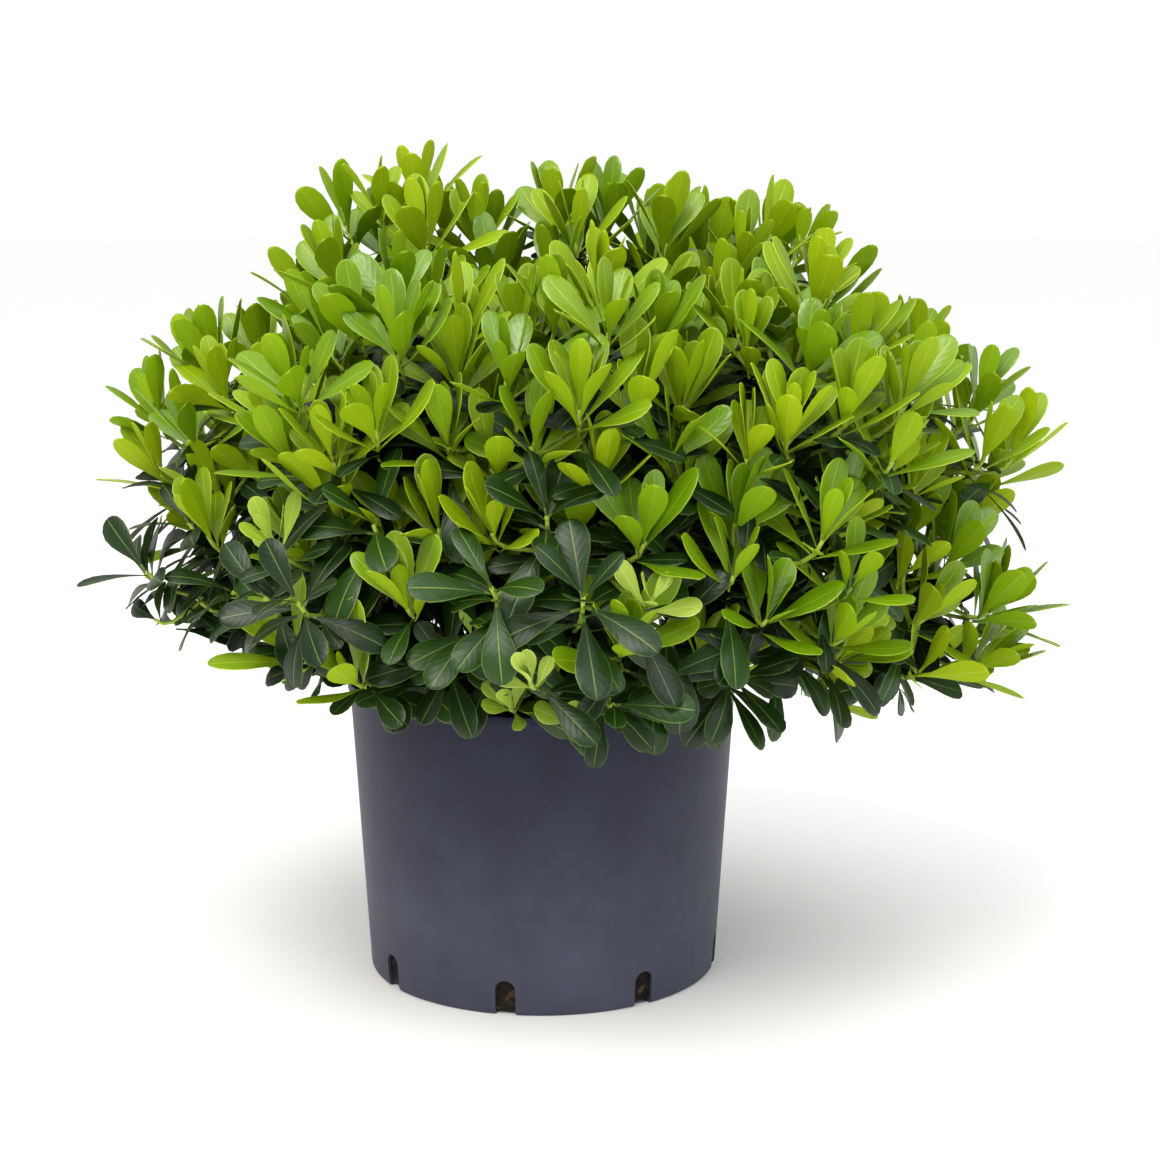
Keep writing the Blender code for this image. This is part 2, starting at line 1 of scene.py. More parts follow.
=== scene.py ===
"""A dwarf Japanese pittosporum in its nursery pot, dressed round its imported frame.

The pot stands on the plane z = 0, its axis is the Z axis, and the front of the shrub
looks along -Y. Lengths are in metres. The limbs, twigs and leaves grow by the rule of
the frame's own source: masses with their own spaces, growing points evenly apart on
their outer sides, forks that join them in threes, and leaves at the golden angle.
"""

import bpy
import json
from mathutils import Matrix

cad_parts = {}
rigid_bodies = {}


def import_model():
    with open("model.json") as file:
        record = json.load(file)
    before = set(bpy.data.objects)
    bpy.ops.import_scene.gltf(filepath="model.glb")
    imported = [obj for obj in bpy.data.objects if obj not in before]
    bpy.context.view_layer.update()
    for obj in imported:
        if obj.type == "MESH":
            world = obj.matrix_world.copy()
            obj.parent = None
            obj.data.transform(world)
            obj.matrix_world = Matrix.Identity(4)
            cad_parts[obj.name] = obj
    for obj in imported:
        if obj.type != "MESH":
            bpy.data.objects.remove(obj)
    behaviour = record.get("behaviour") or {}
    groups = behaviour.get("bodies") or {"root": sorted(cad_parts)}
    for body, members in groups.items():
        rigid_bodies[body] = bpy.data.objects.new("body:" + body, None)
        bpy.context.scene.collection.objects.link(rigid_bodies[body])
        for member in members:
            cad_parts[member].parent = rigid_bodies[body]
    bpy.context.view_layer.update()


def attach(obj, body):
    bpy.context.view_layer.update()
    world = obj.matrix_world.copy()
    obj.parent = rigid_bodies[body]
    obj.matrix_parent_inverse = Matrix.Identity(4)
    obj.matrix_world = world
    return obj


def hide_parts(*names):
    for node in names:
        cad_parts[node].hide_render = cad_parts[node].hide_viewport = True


for leftover in list(bpy.data.objects):
    bpy.data.objects.remove(leftover, do_unlink=True)
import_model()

import json
import logging
import math
import random
from dataclasses import dataclass, field
from enum import Enum, IntEnum

import bmesh
import numpy as np
from mathutils import Matrix, Vector
from mathutils.bvhtree import BVHTree

log = logging.getLogger("pittosporum")

MM = 0.001
UP = Vector((0.0, 0.0, 1.0))
GOLDEN_ANGLE = math.pi * (3.0 - math.sqrt(5.0))
BODY = "root"


class Slot(str, Enum):
    """The record's material slots."""

    PLASTIC = "pot_plastic"
    MIX = "growing_mix"
    BARK = "bark"
    FOLIAGE = "foliage"


class LeafPart(IntEnum):
    """The parts of a leaf that have their own colour."""

    UPPER = 0
    RIB = 1
    EDGE = 2
    UNDER = 3


class Age(Enum):
    """How old a leaf is: this spring's, last year's, last year's darkened as painted shade for the crown's inside, or
    just opening.
    """

    FRESH = "fresh"
    OLD = "old"
    SHADED = "shaded"
    YOUNG = "young"


# Finishes


def srgb(code: str) -> tuple:
    """Turn an sRGB hex colour into a linear one.

    Args:
        code: The colour as #rrggbb.

    Returns:
        Red, green, blue and an alpha of one.
    """
    channels = [int(code[at : at + 2], 16) / 255 for at in (1, 3, 5)]
    linear = [c / 12.92 if c <= 0.04045 else ((c + 0.055) / 1.055) ** 2.4 for c in channels]
    return (*linear, 1.0)


def add_node(tree: bpy.types.NodeTree, kind: str, settings: dict, links: dict) -> bpy.types.Node:
    """Add a node with its settings and links.

    Args:
        tree: The node tree it goes into.
        kind: The node's type name.
        settings: Values by attribute or by input name; "stops" fills a colour ramp.
        links: Output sockets by the name of the input that they feed.

    Returns:
        The new node.
    """
    node = tree.nodes.new(kind)
    for name, value in settings.items():
        if name == "stops":
            ramp = node.color_ramp.elements
            while len(ramp) < len(value):
                ramp.new(0.5)
            for stop, (place, colour) in zip(ramp, value):
                stop.position = place
                stop.color = colour
        elif isinstance(name, str) and hasattr(node, name):
            setattr(node, name, value)
        else:
            node.inputs[name].default_value = value
    for name, source in links.items():
        tree.links.new(source, node.inputs[name])
    return node


def new_material(name: str) -> tuple:
    """Start a material.

    Args:
        name: The real material and how its surface was made.

    Returns:
        The material, its node tree and its shader node.
    """
    made = bpy.data.materials.new(name)
    made.use_nodes = True
    return made, made.node_tree, made.node_tree.nodes["Principled BSDF"]


@dataclass(frozen=True)
class MouldedPolypropylene:
    """Recycled polypropylene, injection moulded: slate grey and satin.

    Its colour is painted darker toward the top, as painted shade under the overhanging crown, and lighter toward the
    foot.
    """

    # The first two tints are the top's, darkened as painted shade from the overhanging crown; the next two are the
    # lighter tints low down, and the height is where the painted shade is full.
    dark: str = "#14142a"
    light: str = "#20243a"
    foot_dark: str = "#383a4a"
    foot_light: str = "#454758"
    painted_shade_height: float = 200 * MM
    cloud_size: float = 45 * MM
    grain_size: float = 0.9 * MM
    roughness: float = 0.50
    specular: float = 0.24

    def make(self) -> bpy.types.Material:
        """Build the material from clouds of recycled tint and a fine moulded grain."""
        made, tree, shader = new_material("recycled polypropylene, injection moulded")
        place = add_node(tree, "ShaderNodeTexCoord", {}, {}).outputs["Object"]
        clouds = add_node(
            tree,
            "ShaderNodeTexNoise",
            {"Scale": 1 / self.cloud_size, "Detail": 5.0, "Roughness": 0.6},
            {"Vector": place},
        )
        shaded_top_tint = add_node(
            tree,
            "ShaderNodeValToRGB",
            {"stops": [(0.3, srgb(self.dark)), (0.7, srgb(self.light))]},
            {"Fac": clouds.outputs["Fac"]},
        )
        foot_tint = add_node(
            tree,
            "ShaderNodeValToRGB",
            {"stops": [(0.3, srgb(self.foot_dark)), (0.7, srgb(self.foot_light))]},
            {"Fac": clouds.outputs["Fac"]},
        )
        # Painted shade: from the height down to a quarter of it, the darker top tints blend into the lighter foot
        # tints.
        parts = add_node(tree, "ShaderNodeSeparateXYZ", {}, {"Vector": place})
        painted_crown_shade = add_node(
            tree,
            "ShaderNodeMapRange",
            {"From Min": self.painted_shade_height, "From Max": self.painted_shade_height * 0.25},
            {"Value": parts.outputs["Z"]},
        )
        tint = add_node(
            tree,
            "ShaderNodeMix",
            {"data_type": "RGBA"},
            {"Factor": painted_crown_shade.outputs["Result"]},
        )
        tree.links.new(shaded_top_tint.outputs["Color"], tint.inputs[6])
        tree.links.new(foot_tint.outputs["Color"], tint.inputs[7])
        grain = add_node(
            tree,
            "ShaderNodeTexNoise",
            {"Scale": 1 / self.grain_size, "Detail": 2.0},
            {"Vector": place},
        )
        bump = add_node(
            tree,
            "ShaderNodeBump",
            {"Strength": 0.12, "Distance": 0.2 * MM},
            {"Height": grain.outputs["Fac"]},
        )
        tree.links.new(tint.outputs[2], shader.inputs["Base Color"])
        tree.links.new(bump.outputs["Normal"], shader.inputs["Normal"])
        shader.inputs["Roughness"].default_value = self.roughness
        shader.inputs["Specular IOR Level"].default_value = self.specular
        return made


@dataclass(frozen=True)
class BarkMix:
    """Composted bark and peat, loose and damp: dark crumbs with paler splinters."""

    peat: str = "#0d0b09"
    bark: str = "#1f1812"
    splinter: str = "#463727"
    crumb_size: float = 6 * MM

    def make(self) -> bpy.types.Material:
        """Build the material from crumbs, each with its own shade."""
        made, tree, shader = new_material("composted bark and peat, loose")
        place = add_node(tree, "ShaderNodeTexCoord", {}, {}).outputs["Object"]
        crumbs = add_node(
            tree, "ShaderNodeTexVoronoi", {"Scale": 1 / self.crumb_size}, {"Vector": place}
        )
        shade = add_node(
            tree, "ShaderNodeSeparateColor", {}, {"Color": crumbs.outputs["Color"]}
        )
        tint = add_node(
            tree,
            "ShaderNodeValToRGB",
            {"stops": [(0.2, srgb(self.peat)), (0.75, srgb(self.bark)), (0.97, srgb(self.splinter))]},
            {"Fac": shade.outputs["Red"]},
        )
        bump = add_node(
            tree,
            "ShaderNodeBump",
            {"Strength": 0.8, "Distance": 2 * MM, "invert": True},
            {"Height": crumbs.outputs["Distance"]},
        )
        tree.links.new(tint.outputs["Color"], shader.inputs["Base Color"])
        tree.links.new(bump.outputs["Normal"], shader.inputs["Normal"])
        shader.inputs["Roughness"].default_value = 0.9
        shader.inputs["Specular IOR Level"].default_value = 0.25
        return made


@dataclass(frozen=True)
class BarkChip:
    """Broken pine bark, damp: flaky layers in two browns."""

    inner: str = "#2b1c13"
    outer: str = "#4d3726"
    layer: float = 1.4 * MM

    def make(self) -> bpy.types.Material:
        """Build the material from thin flaky layers."""
        made, tree, shader = new_material("broken pine bark, damp")
        place = add_node(tree, "ShaderNodeTexCoord", {}, {}).outputs["Object"]
        layers = add_node(
            tree,
            "ShaderNodeTexNoise",
            {"Scale": 1 / self.layer, "Detail": 4.0, "Distortion": 1.2},
            {"Vector": place},
        )
        tint = add_node(
            tree,
            "ShaderNodeValToRGB",
            {"stops": [(0.35, srgb(self.inner)), (0.65, srgb(self.outer))]},
            {"Fac": layers.outputs["Fac"]},
        )
        bump = add_node(
            tree,
            "ShaderNodeBump",
            {"Strength": 0.5, "Distance": 0.6 * MM},
            {"Height": layers.outputs["Fac"]},
        )
        tree.links.new(tint.outputs["Color"], shader.inputs["Base Color"])
        tree.links.new(bump.outputs["Normal"], shader.inputs["Normal"])
        shader.inputs["Roughness"].default_value = 0.8
        shader.inputs["Specular IOR Level"].default_value = 0.3
        return made


@dataclass(frozen=True)
class TwigBark:
    """The skin of a limb or twig: a plain colour with streaks along it."""

    name: str
    dark: str
    light: str
    streak: float
    roughness: float

    def make(self) -> bpy.types.Material:
        """Build the material from soft streaks in two shades."""
        made, tree, shader = new_material(self.name)
        place = add_node(tree, "ShaderNodeTexCoord", {}, {}).outputs["Object"]
        streaks = add_node(
            tree,
            "ShaderNodeTexNoise",
            {"Scale": 1 / self.streak, "Detail": 4.0, "Roughness": 0.65},
            {"Vector": place},
        )
        tint = add_node(
            tree,
            "ShaderNodeValToRGB",
            {"stops": [(0.35, srgb(self.dark)), (0.65, srgb(self.light))]},
            {"Fac": streaks.outputs["Fac"]},
        )
        bump = add_node(
            tree,
            "ShaderNodeBump",
            {"Strength": 0.4, "Distance": 0.4 * MM},
            {"Height": streaks.outputs["Fac"]},
        )
        tree.links.new(tint.outputs["Color"], shader.inputs["Base Color"])
        tree.links.new(bump.outputs["Normal"], shader.inputs["Normal"])
        shader.inputs["Roughness"].default_value = self.roughness
        return made


@dataclass(frozen=True)
class LeafSkin:
    """A leaf's waxy skin in one plain colour, so that it stays put on joined sprays."""

    name: str
    colour: str
    roughness: float = 0.40
    specular: float = 0.5
    coat: float = 0.0
    vein_pairs: float = 9.0
    vein_slant: float = 5.0

    def veins(self, tree: bpy.types.NodeTree, spread: bpy.types.NodeSocket) -> bpy.types.NodeSocket:
        """Height of the side veins, which leave the midrib at a slant and meet near the margin."""
        parts = add_node(tree, "ShaderNodeSeparateXYZ", {}, {"Vector": spread})
        off = add_node(tree, "ShaderNodeMath", {"operation": "SUBTRACT", 1: 0.5}, {0: parts.outputs["X"]})
        aside = add_node(tree, "ShaderNodeMath", {"operation": "ABSOLUTE"}, {0: off.outputs[0]})
        slant = add_node(
            tree, "ShaderNodeMath", {"operation": "MULTIPLY", 1: self.vein_slant}, {0: aside.outputs[0]}
        )
        along = add_node(
            tree, "ShaderNodeMath", {"operation": "MULTIPLY", 1: self.vein_pairs}, {0: parts.outputs["Y"]}
        )
        phase = add_node(
            tree, "ShaderNodeMath", {"operation": "SUBTRACT"}, {0: along.outputs[0], 1: slant.outputs[0]}
        )
        swing = add_node(
            tree, "ShaderNodeMath", {"operation": "PINGPONG", 1: 0.5}, {0: phase.outputs[0]}
        )
        return add_node(
            tree, "ShaderNodeMath", {"operation": "POWER", 1: 3.0}, {0: swing.outputs[0]}
        ).outputs[0]

    def make(self) -> bpy.types.Material:
        """Build the material from its plain colour, a leathery relief and side veins."""
        made, tree, shader = new_material(self.name)
        coordinates = add_node(tree, "ShaderNodeTexCoord", {}, {})
        cells = add_node(
            tree,
            "ShaderNodeTexNoise",
            {"Scale": 1 / (2.5 * MM), "Detail": 3.0},
            {"Vector": coordinates.outputs["Object"]},
        )
        leather = add_node(
            tree,
            "ShaderNodeBump",
            {"Strength": 0.18, "Distance": 0.3 * MM},
            {"Height": cells.outputs["Fac"]},
        )
        bump = add_node(
            tree,
            "ShaderNodeBump",
            {"Strength": 0.5, "Distance": 1.2 * MM},
            {"Height": self.veins(tree, coordinates.outputs["UV"]), "Normal": leather.outputs["Normal"]},
        )
        tree.links.new(bump.outputs["Normal"], shader.inputs["Normal"])
        shader.inputs["Base Color"].default_value = srgb(self.colour)
        shader.inputs["Roughness"].default_value = self.roughness
        shader.inputs["Specular IOR Level"].default_value = self.specular
        shader.inputs["Coat Weight"].default_value = self.coat
        return made


@dataclass(frozen=True)
class LeafTint:
    """The four skins that one spray's leaves take, by the part of the leaf."""

    upper: str
    rib: str
    # The edge colour is paler than the upper face: partly the rolled margin's own paler tone, partly a painted
    # highlight along it.
    edge: str
    under: str
    gloss: float
    sheen: float

    def skins(self, name: str) -> list:
        """The materials of this tint in the order of LeafPart."""
        return [
            LeafSkin(f"waxy leaf, upper face, {name}", self.upper, self.gloss, self.sheen).make(),
            LeafSkin(f"leaf midrib, {name}", self.rib, self.gloss + 0.05, self.sheen).make(),
            LeafSkin(f"leaf margin, {name}", self.edge, self.gloss + 0.05, self.sheen).make(),
            LeafSkin(f"matt leaf, lower face, {name}", self.under, 0.62, 0.18).make(),
        ]


# The fresh tints are bright lime, with lower faces brighter than the upper ones: partly the leaves' own colour and
# paler underside, partly painted light shining through the thin leaves.
FRESH_TINTS = (
    LeafTint("#789602", "#9eb42c", "#a3ba2c", "#8fae04", 0.42, 0.30),
    LeafTint("#6c8e02", "#90a926", "#98b128", "#84a503", 0.42, 0.30),
    LeafTint("#84a203", "#aabd38", "#aec33a", "#9bb406", 0.44, 0.30),
    LeafTint("#648a02", "#8aa324", "#92ab28", "#7c9e03", 0.30, 0.62),
    LeafTint("#759504", "#9bb12e", "#a0b732", "#8eab07", 0.34, 0.46),
)
YOUNG_TINTS = (
    LeafTint("#a2bb42", "#bfd070", "#c5d678", "#adc14c", 0.46, 0.40),
    LeafTint("#8fad2a", "#acc458", "#b4ca60", "#99b436", 0.46, 0.40),
)
OLD_TINTS = (
    LeafTint("#0f2606", "#566e30", "#3e561e", "#2b4218", 0.38, 0.36),
    LeafTint("#162f08", "#617834", "#475f22", "#354c1d", 0.37, 0.36),
    LeafTint("#213f0b", "#6b8232", "#536c27", "#405a1f", 0.37, 0.36),
)
# Painted shade: a near-black copy of the old tints, for the leaves deep inside the crown.
PAINTED_SHADE_TINTS = (LeafTint("#071503", "#2a3b14", "#1e300e", "#14260a", 0.44, 0.26),)


# Small modelling helpers


def deselect_all() -> None:
    """Leave edit mode and select nothing."""
    if bpy.context.object and bpy.context.object.mode != "OBJECT":
        bpy.ops.object.mode_set(mode="OBJECT")
    bpy.ops.object.select_all(action="DESELECT")


def take_up(piece: bpy.types.Object) -> None:
    """Select one piece alone and make it the active one."""
    deselect_all()
    piece.select_set(True)
    bpy.context.view_layer.objects.active = piece


def pick(piece: bpy.types.Object, wanted, faces: bool = False) -> int:
    """Select vertices or faces of the piece in edit mode by a test.

    Args:
        piece: The piece, in edit mode.
        wanted: A test of a vertex's or face centre's place.
        faces: Whether faces are picked rather than vertices.

    Returns:
        How many were selected.
    """
    bpy.ops.mesh.select_mode(type="FACE" if faces else "VERT")
    bpy.ops.mesh.select_all(action="DESELECT")
    body = bmesh.from_edit_mesh(piece.data)
    count = 0
    for item in body.faces if faces else body.verts:
        place = item.calc_center_median() if faces else item.co
        if wanted(place):
            item.select_set(True)
            count += 1
    body.select_flush_mode()
    bmesh.update_edit_mesh(piece.data)
    return count


def settle(piece: bpy.types.Object, name: str) -> bpy.types.Object:
    """Name a piece and put its object at the origin with its place in its mesh."""
    take_up(piece)
    bpy.ops.object.transform_apply(location=True, rotation=True, scale=True)
    piece.name = name
    piece.data.name = name
    return piece


def apply_modifiers(piece: bpy.types.Object) -> None:
    """Apply all the piece's modifiers in order."""
    take_up(piece)
    for modifier in list(piece.modifiers):
        bpy.ops.object.modifier_apply(modifier=modifier.name)


def hand_over(piece: bpy.types.Object, slot: Slot, *nodes: str) -> None:
    """Let a finished piece ride on the body and stand for its nodes.

    Args:
        piece: The finished piece.
        slot: The record's slot; not used.
        nodes: The frame's nodes that it stands for.
    """
    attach(piece, BODY)
    if nodes:
        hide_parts(*nodes)
    triangles = sum(len(face.vertices) - 2 for face in piece.data.polygons)
    log.info("%s: %d triangles", piece.name, triangles)


# The pot and its growing mix


@dataclass
class NurseryPot:
    """A thin moulded cone with a small lip, a rounded foot and eight drain slots."""

    height: float = 212 * MM
    rim_radius: float = 138.8 * MM
    base_radius: float = 125.7 * MM
    wall: float = 2.2 * MM
    floor: float = 3.0 * MM
    foot_round: float = 3.0 * MM
    lip_height: float = 6.5 * MM
    lip_proud: float = 1.2 * MM
    steps: int = 160
    slots: int = 8
    slot_width: float = 14.0 * MM
    slot_height: float = 25.0 * MM
    slot_depth: float = 23.0 * MM
    first_slot: float = math.radians(-101.0)
    finish: MouldedPolypropylene = field(default_factory=MouldedPolypropylene)

    def radius_at(self, height: float) -> float:
        """Outer radius of the cone at a height."""
        return self.base_radius + (self.rim_radius - self.base_radius) * height / self.height

    def profile(self) -> list:
        """The wall's section from the outer foot over the lip to the inner foot.

        Returns:
            Radius and height pairs, from the underside's edge to the floor's edge.
        """
        section = []
        rounding = 8
        for step in range(rounding + 1):
            turn = math.radians(90.0) * step / rounding
            radius = self.radius_at(self.foot_round) - self.foot_round * (1 - math.sin(turn))
            section.append((radius, self.foot_round * (1 - math.cos(turn))))
        under_lip = self.height - self.lip_height
        lip = self.rim_radius + self.lip_proud
        section += [(self.radius_at(z), z) for z in (under_lip / 2, under_lip - 2.2 * MM)]
        section += [(lip - 0.3 * MM, under_lip), (lip, under_lip + 0.5 * MM)]
        section += [(lip, self.height - 0.8 * MM), (lip - 0.3 * MM, self.height - 0.2 * MM)]
        section += [(lip - 0.8 * MM, self.height)]
        inner_rim = self.rim_radius - self.wall
        section += [(inner_rim + 0.5 * MM, self.height), (inner_rim, self.height - 0.5 * MM)]
        section += [(self.radius_at(self.floor) - self.wall, self.floor)]
        return section

    def turn_wall(self) -> bpy.types.Object:
        """Raise the wall ring by ring from its foot and close its floor."""
        section = self.profile()
        deselect_all()
        radius, height = section[0]
        bpy.ops.mesh.primitive_circle_add(
            vertices=self.steps, radius=radius, fill_type="NOTHING", location=(0, 0, height)
        )
        piece = bpy.context.object
        bpy.ops.object.transform_apply(location=True, rotation=False, scale=False)
        bpy.ops.object.mode_set(mode="EDIT")
        bpy.ops.mesh.select_all(action="SELECT")
        for next_radius, next_height in section[1:]:
            rise = (0.0, 0.0, next_height - height)
            bpy.ops.mesh.extrude_region_move(TRANSFORM_OT_translate={"value": rise})
            grow = next_radius / radius
            bpy.ops.transform.resize(value=(grow, grow, 1.0), center_override=(0, 0, 0))
            radius, height = next_radius, next_height
        self.close(radius)
        pick(piece, lambda place: place.z < 0.01 * MM)
        self.close(section[0][0])
        bpy.ops.mesh.select_all(action="SELECT")
        bpy.ops.mesh.normals_make_consistent(inside=False)
        bpy.ops.object.mode_set(mode="OBJECT")
        return piece

    def close(self, radius: float) -> None:
        """Draw the selected ring in to the axis and merge it there."""
        bpy.ops.mesh.extrude_region_move(TRANSFORM_OT_translate={"value": (0, 0, 0)})
        bpy.ops.transform.resize(value=(0.5, 0.5, 1.0), center_override=(0, 0, 0))
        bpy.ops.mesh.extrude_region_move(TRANSFORM_OT_translate={"value": (0, 0, 0)})
        bpy.ops.mesh.merge(type="CENTER")

    def slot_cutter(self, index: int) -> bpy.types.Object:
        """A door with a round head that stands radially through the foot."""
        angle = self.first_slot + math.tau * index / self.slots
        deselect_all()
        low = -self.floor
        bpy.ops.mesh.primitive_cube_add(size=1.0, location=(0, 0, 0))
        cutter = bpy.context.object
        size = (self.slot_depth, self.slot_width, self.slot_height - low)
        bpy.ops.transform.resize(value=size)
        bpy.ops.object.transform_apply(location=True, rotation=True, scale=True)
        bpy.ops.object.mode_set(mode="EDIT")
        bpy.ops.mesh.select_mode(type="EDGE")
        bpy.ops.mesh.select_all(action="DESELECT")
        body = bmesh.from_edit_mesh(cutter.data)
        for edge in body.edges:
            way = edge.verts[0].co - edge.verts[1].co
            if abs(way.x) > self.slot_depth / 2 and edge.verts[0].co.z > 0:
                edge.select_set(True)
        bmesh.update_edit_mesh(cutter.data)
        bpy.ops.mesh.bevel(offset=self.slot_width * 0.499, segments=8, affect="EDGES")
        bpy.ops.object.mode_set(mode="OBJECT")
        cutter.rotation_euler = (0, 0, angle)
        out = Vector((math.cos(angle), math.sin(angle), 0)) * self.base_radius
        cutter.location = out + UP * (self.slot_height + low) / 2
        return cutter

    def build(self) -> None:
        """Turn the wall, cut the slots and hand the pot over."""
        piece = self.turn_wall()
        cutters = [self.slot_cutter(index) for index in range(self.slots)]
        for cutter in cutters:
            cut = piece.modifiers.new("slot", "BOOLEAN")
            cut.operation = "DIFFERENCE"
            cut.object = cutter
        apply_modifiers(piece)
        for cutter in cutters:
            bpy.data.objects.remove(cutter, do_unlink=True)
        settle(piece, "pot_shell")
        bpy.ops.object.shade_smooth_by_angle(angle=math.radians(28.0))
        piece.data.materials.clear()
        piece.data.materials.append(self.finish.make())
        hand_over(piece, Slot.PLASTIC, "pot")


@dataclass
class GrowingMix:
    """The bark mix that fills the pot: a rough crumbly top, close to the wall."""

    top: float = 197 * MM
    bottom: float = 3.3 * MM
    top_radius: float = 135.0 * MM
    bottom_radius: float = 123.2 * MM
    rings: int = 26
    steps: int = 96
    heave: float = 5 * MM
    chips: int = 420
    stem_room: float = 24 * MM
    finish: BarkMix = field(default_factory=BarkMix)

    def build(self) -> None:
        """Lay the top in rings, drop the sides and roughen it."""
        deselect_all()
        bpy.ops.mesh.primitive_circle_add(
            vertices=self.steps, radius=self.bottom_radius, fill_type="NGON", location=(0, 0, self.bottom)
        )
        piece = bpy.context.object
        bpy.ops.object.transform_apply(location=True, rotation=False, scale=False)
        bpy.ops.object.mode_set(mode="EDIT")
        bpy.ops.mesh.select_all(action="SELECT")
        rise = (0.0, 0.0, self.top - self.bottom)
        bpy.ops.mesh.extrude_region_move(TRANSFORM_OT_translate={"value": rise})
        grow = self.top_radius / self.bottom_radius
        bpy.ops.transform.resize(value=(grow, grow, 1.0), center_override=(0, 0, 0))
        for _ in range(self.rings):
            bpy.ops.mesh.inset(thickness=self.top_radius / (self.rings + 1), depth=0.0)
        bpy.ops.mesh.poke()
        bpy.ops.mesh.select_all(action="SELECT")
        bpy.ops.mesh.normals_make_consistent(inside=False)
        bpy.ops.object.mode_set(mode="OBJECT")
        crumbs = bpy.data.textures.new("crumbs", "CLOUDS")
        crumbs.noise_scale = 7 * MM
        top = piece.vertex_groups.new(name="top")
        inner = self.top_radius - 2 * MM
        chosen = [
            v.index
            for v in piece.data.vertices
            if v.co.z > self.top - MM and math.hypot(v.co.x, v.co.y) < inner
        ]
        top.add(chosen, 1.0, "REPLACE")
        rough = piece.modifiers.new("rough", "DISPLACE")
        rough.texture = crumbs
        rough.vertex_group = "top"
        rough.strength = self.heave
        apply_modifiers(piece)
        settle(piece, "soil_fill")
        bpy.ops.object.shade_smooth_by_angle(angle=math.radians(50.0))
        piece.data.materials.clear()
        piece.data.materials.append(self.finish.make())
        hand_over(piece, Slot.MIX, "soil")
        self.scatter_chips()

    def chip(self, length: float, width: float, thickness: float, seed: int) -> tuple:
        """Break one bark chip from a block: bevelled, with uneven ends.

        Args:
            length: Its size along the grain.
            width: Its size across the grain.
            thickness: Its thickness.
            seed: The number of its random draws.

        Returns:
            Its corners and its triangles.
        """
        deselect_all()
        bpy.ops.mesh.primitive_cube_add(size=1.0, location=(0, 0, 0))
        block = bpy.context.object
        bpy.ops.transform.resize(value=(width, length, thickness))
        bpy.ops.object.transform_apply(location=True, rotation=True, scale=True)
        bpy.ops.object.mode_set(mode="EDIT")
        bpy.ops.mesh.select_all(action="SELECT")
        bpy.ops.mesh.bevel(offset=thickness * 0.3, segments=1, affect="EDGES")
        bpy.ops.transform.vertex_random(offset=thickness * 0.35, uniform=0.0, normal=0.0, seed=seed)
        bpy.ops.mesh.quads_convert_to_tris()
        bpy.ops.object.mode_set(mode="OBJECT")
        corners = np.array([tuple(v.co) for v in block.data.vertices])
        faces = np.array([tuple(face.vertices) for face in block.data.polygons])
        bpy.data.objects.remove(block, do_unlink=True)
        return corners, faces

    def scatter_chips(self) -> None:
        """Strew broken bark over the mix, clear of the stem and the wall."""
        rng = random.Random(3)
        chips = [
            self.chip(length * MM, width * MM, thickness * MM, number)
            for number, (length, width, thickness) in enumerate(
                ((16, 7, 2.6), (12, 6, 3.0), (9, 5, 2.4), (20, 5, 2.0), (7, 6, 3.2))
            )
        ]
        sheaf = Sheaf("soil_chips", False)
        for index in range(self.chips):
            corners, faces = chips[index % len(chips)]
            ring = math.sqrt((index + 0.5) / self.chips) * (self.top_radius - 12 * MM)
            turn = index * GOLDEN_ANGLE
            if ring < self.stem_room:
                continue
            height = self.top + rng.uniform(1.0, 3.5) * MM
            place = np.array((ring * math.cos(turn), ring * math.sin(turn), height))
            lie = Matrix.Rotation(rng.uniform(0, math.tau), 3, "Z") @ Matrix.Rotation(rng.gauss(0, 0.3), 3, "X")
            sheaf.add(
                corners @ np.array(lie.transposed()) + place,
                faces,
                np.zeros(len(faces), dtype=int),
                np.zeros((len(corners), 2)),
            )
        piece = sheaf.bind([BarkChip().make()])
        take_up(piece)
        bpy.ops.object.shade_flat()
        hand_over(piece, Slot.MIX, "soil")


# The shrub's plan, as in the frame's source


@dataclass(frozen=True)
class Mass:
    """One mass of foliage: its centre, its reach, what carries it, how fresh it is."""

    name: str
    centre: Vector
    reach: float
    parent: str
    fork: float
    fresh: float


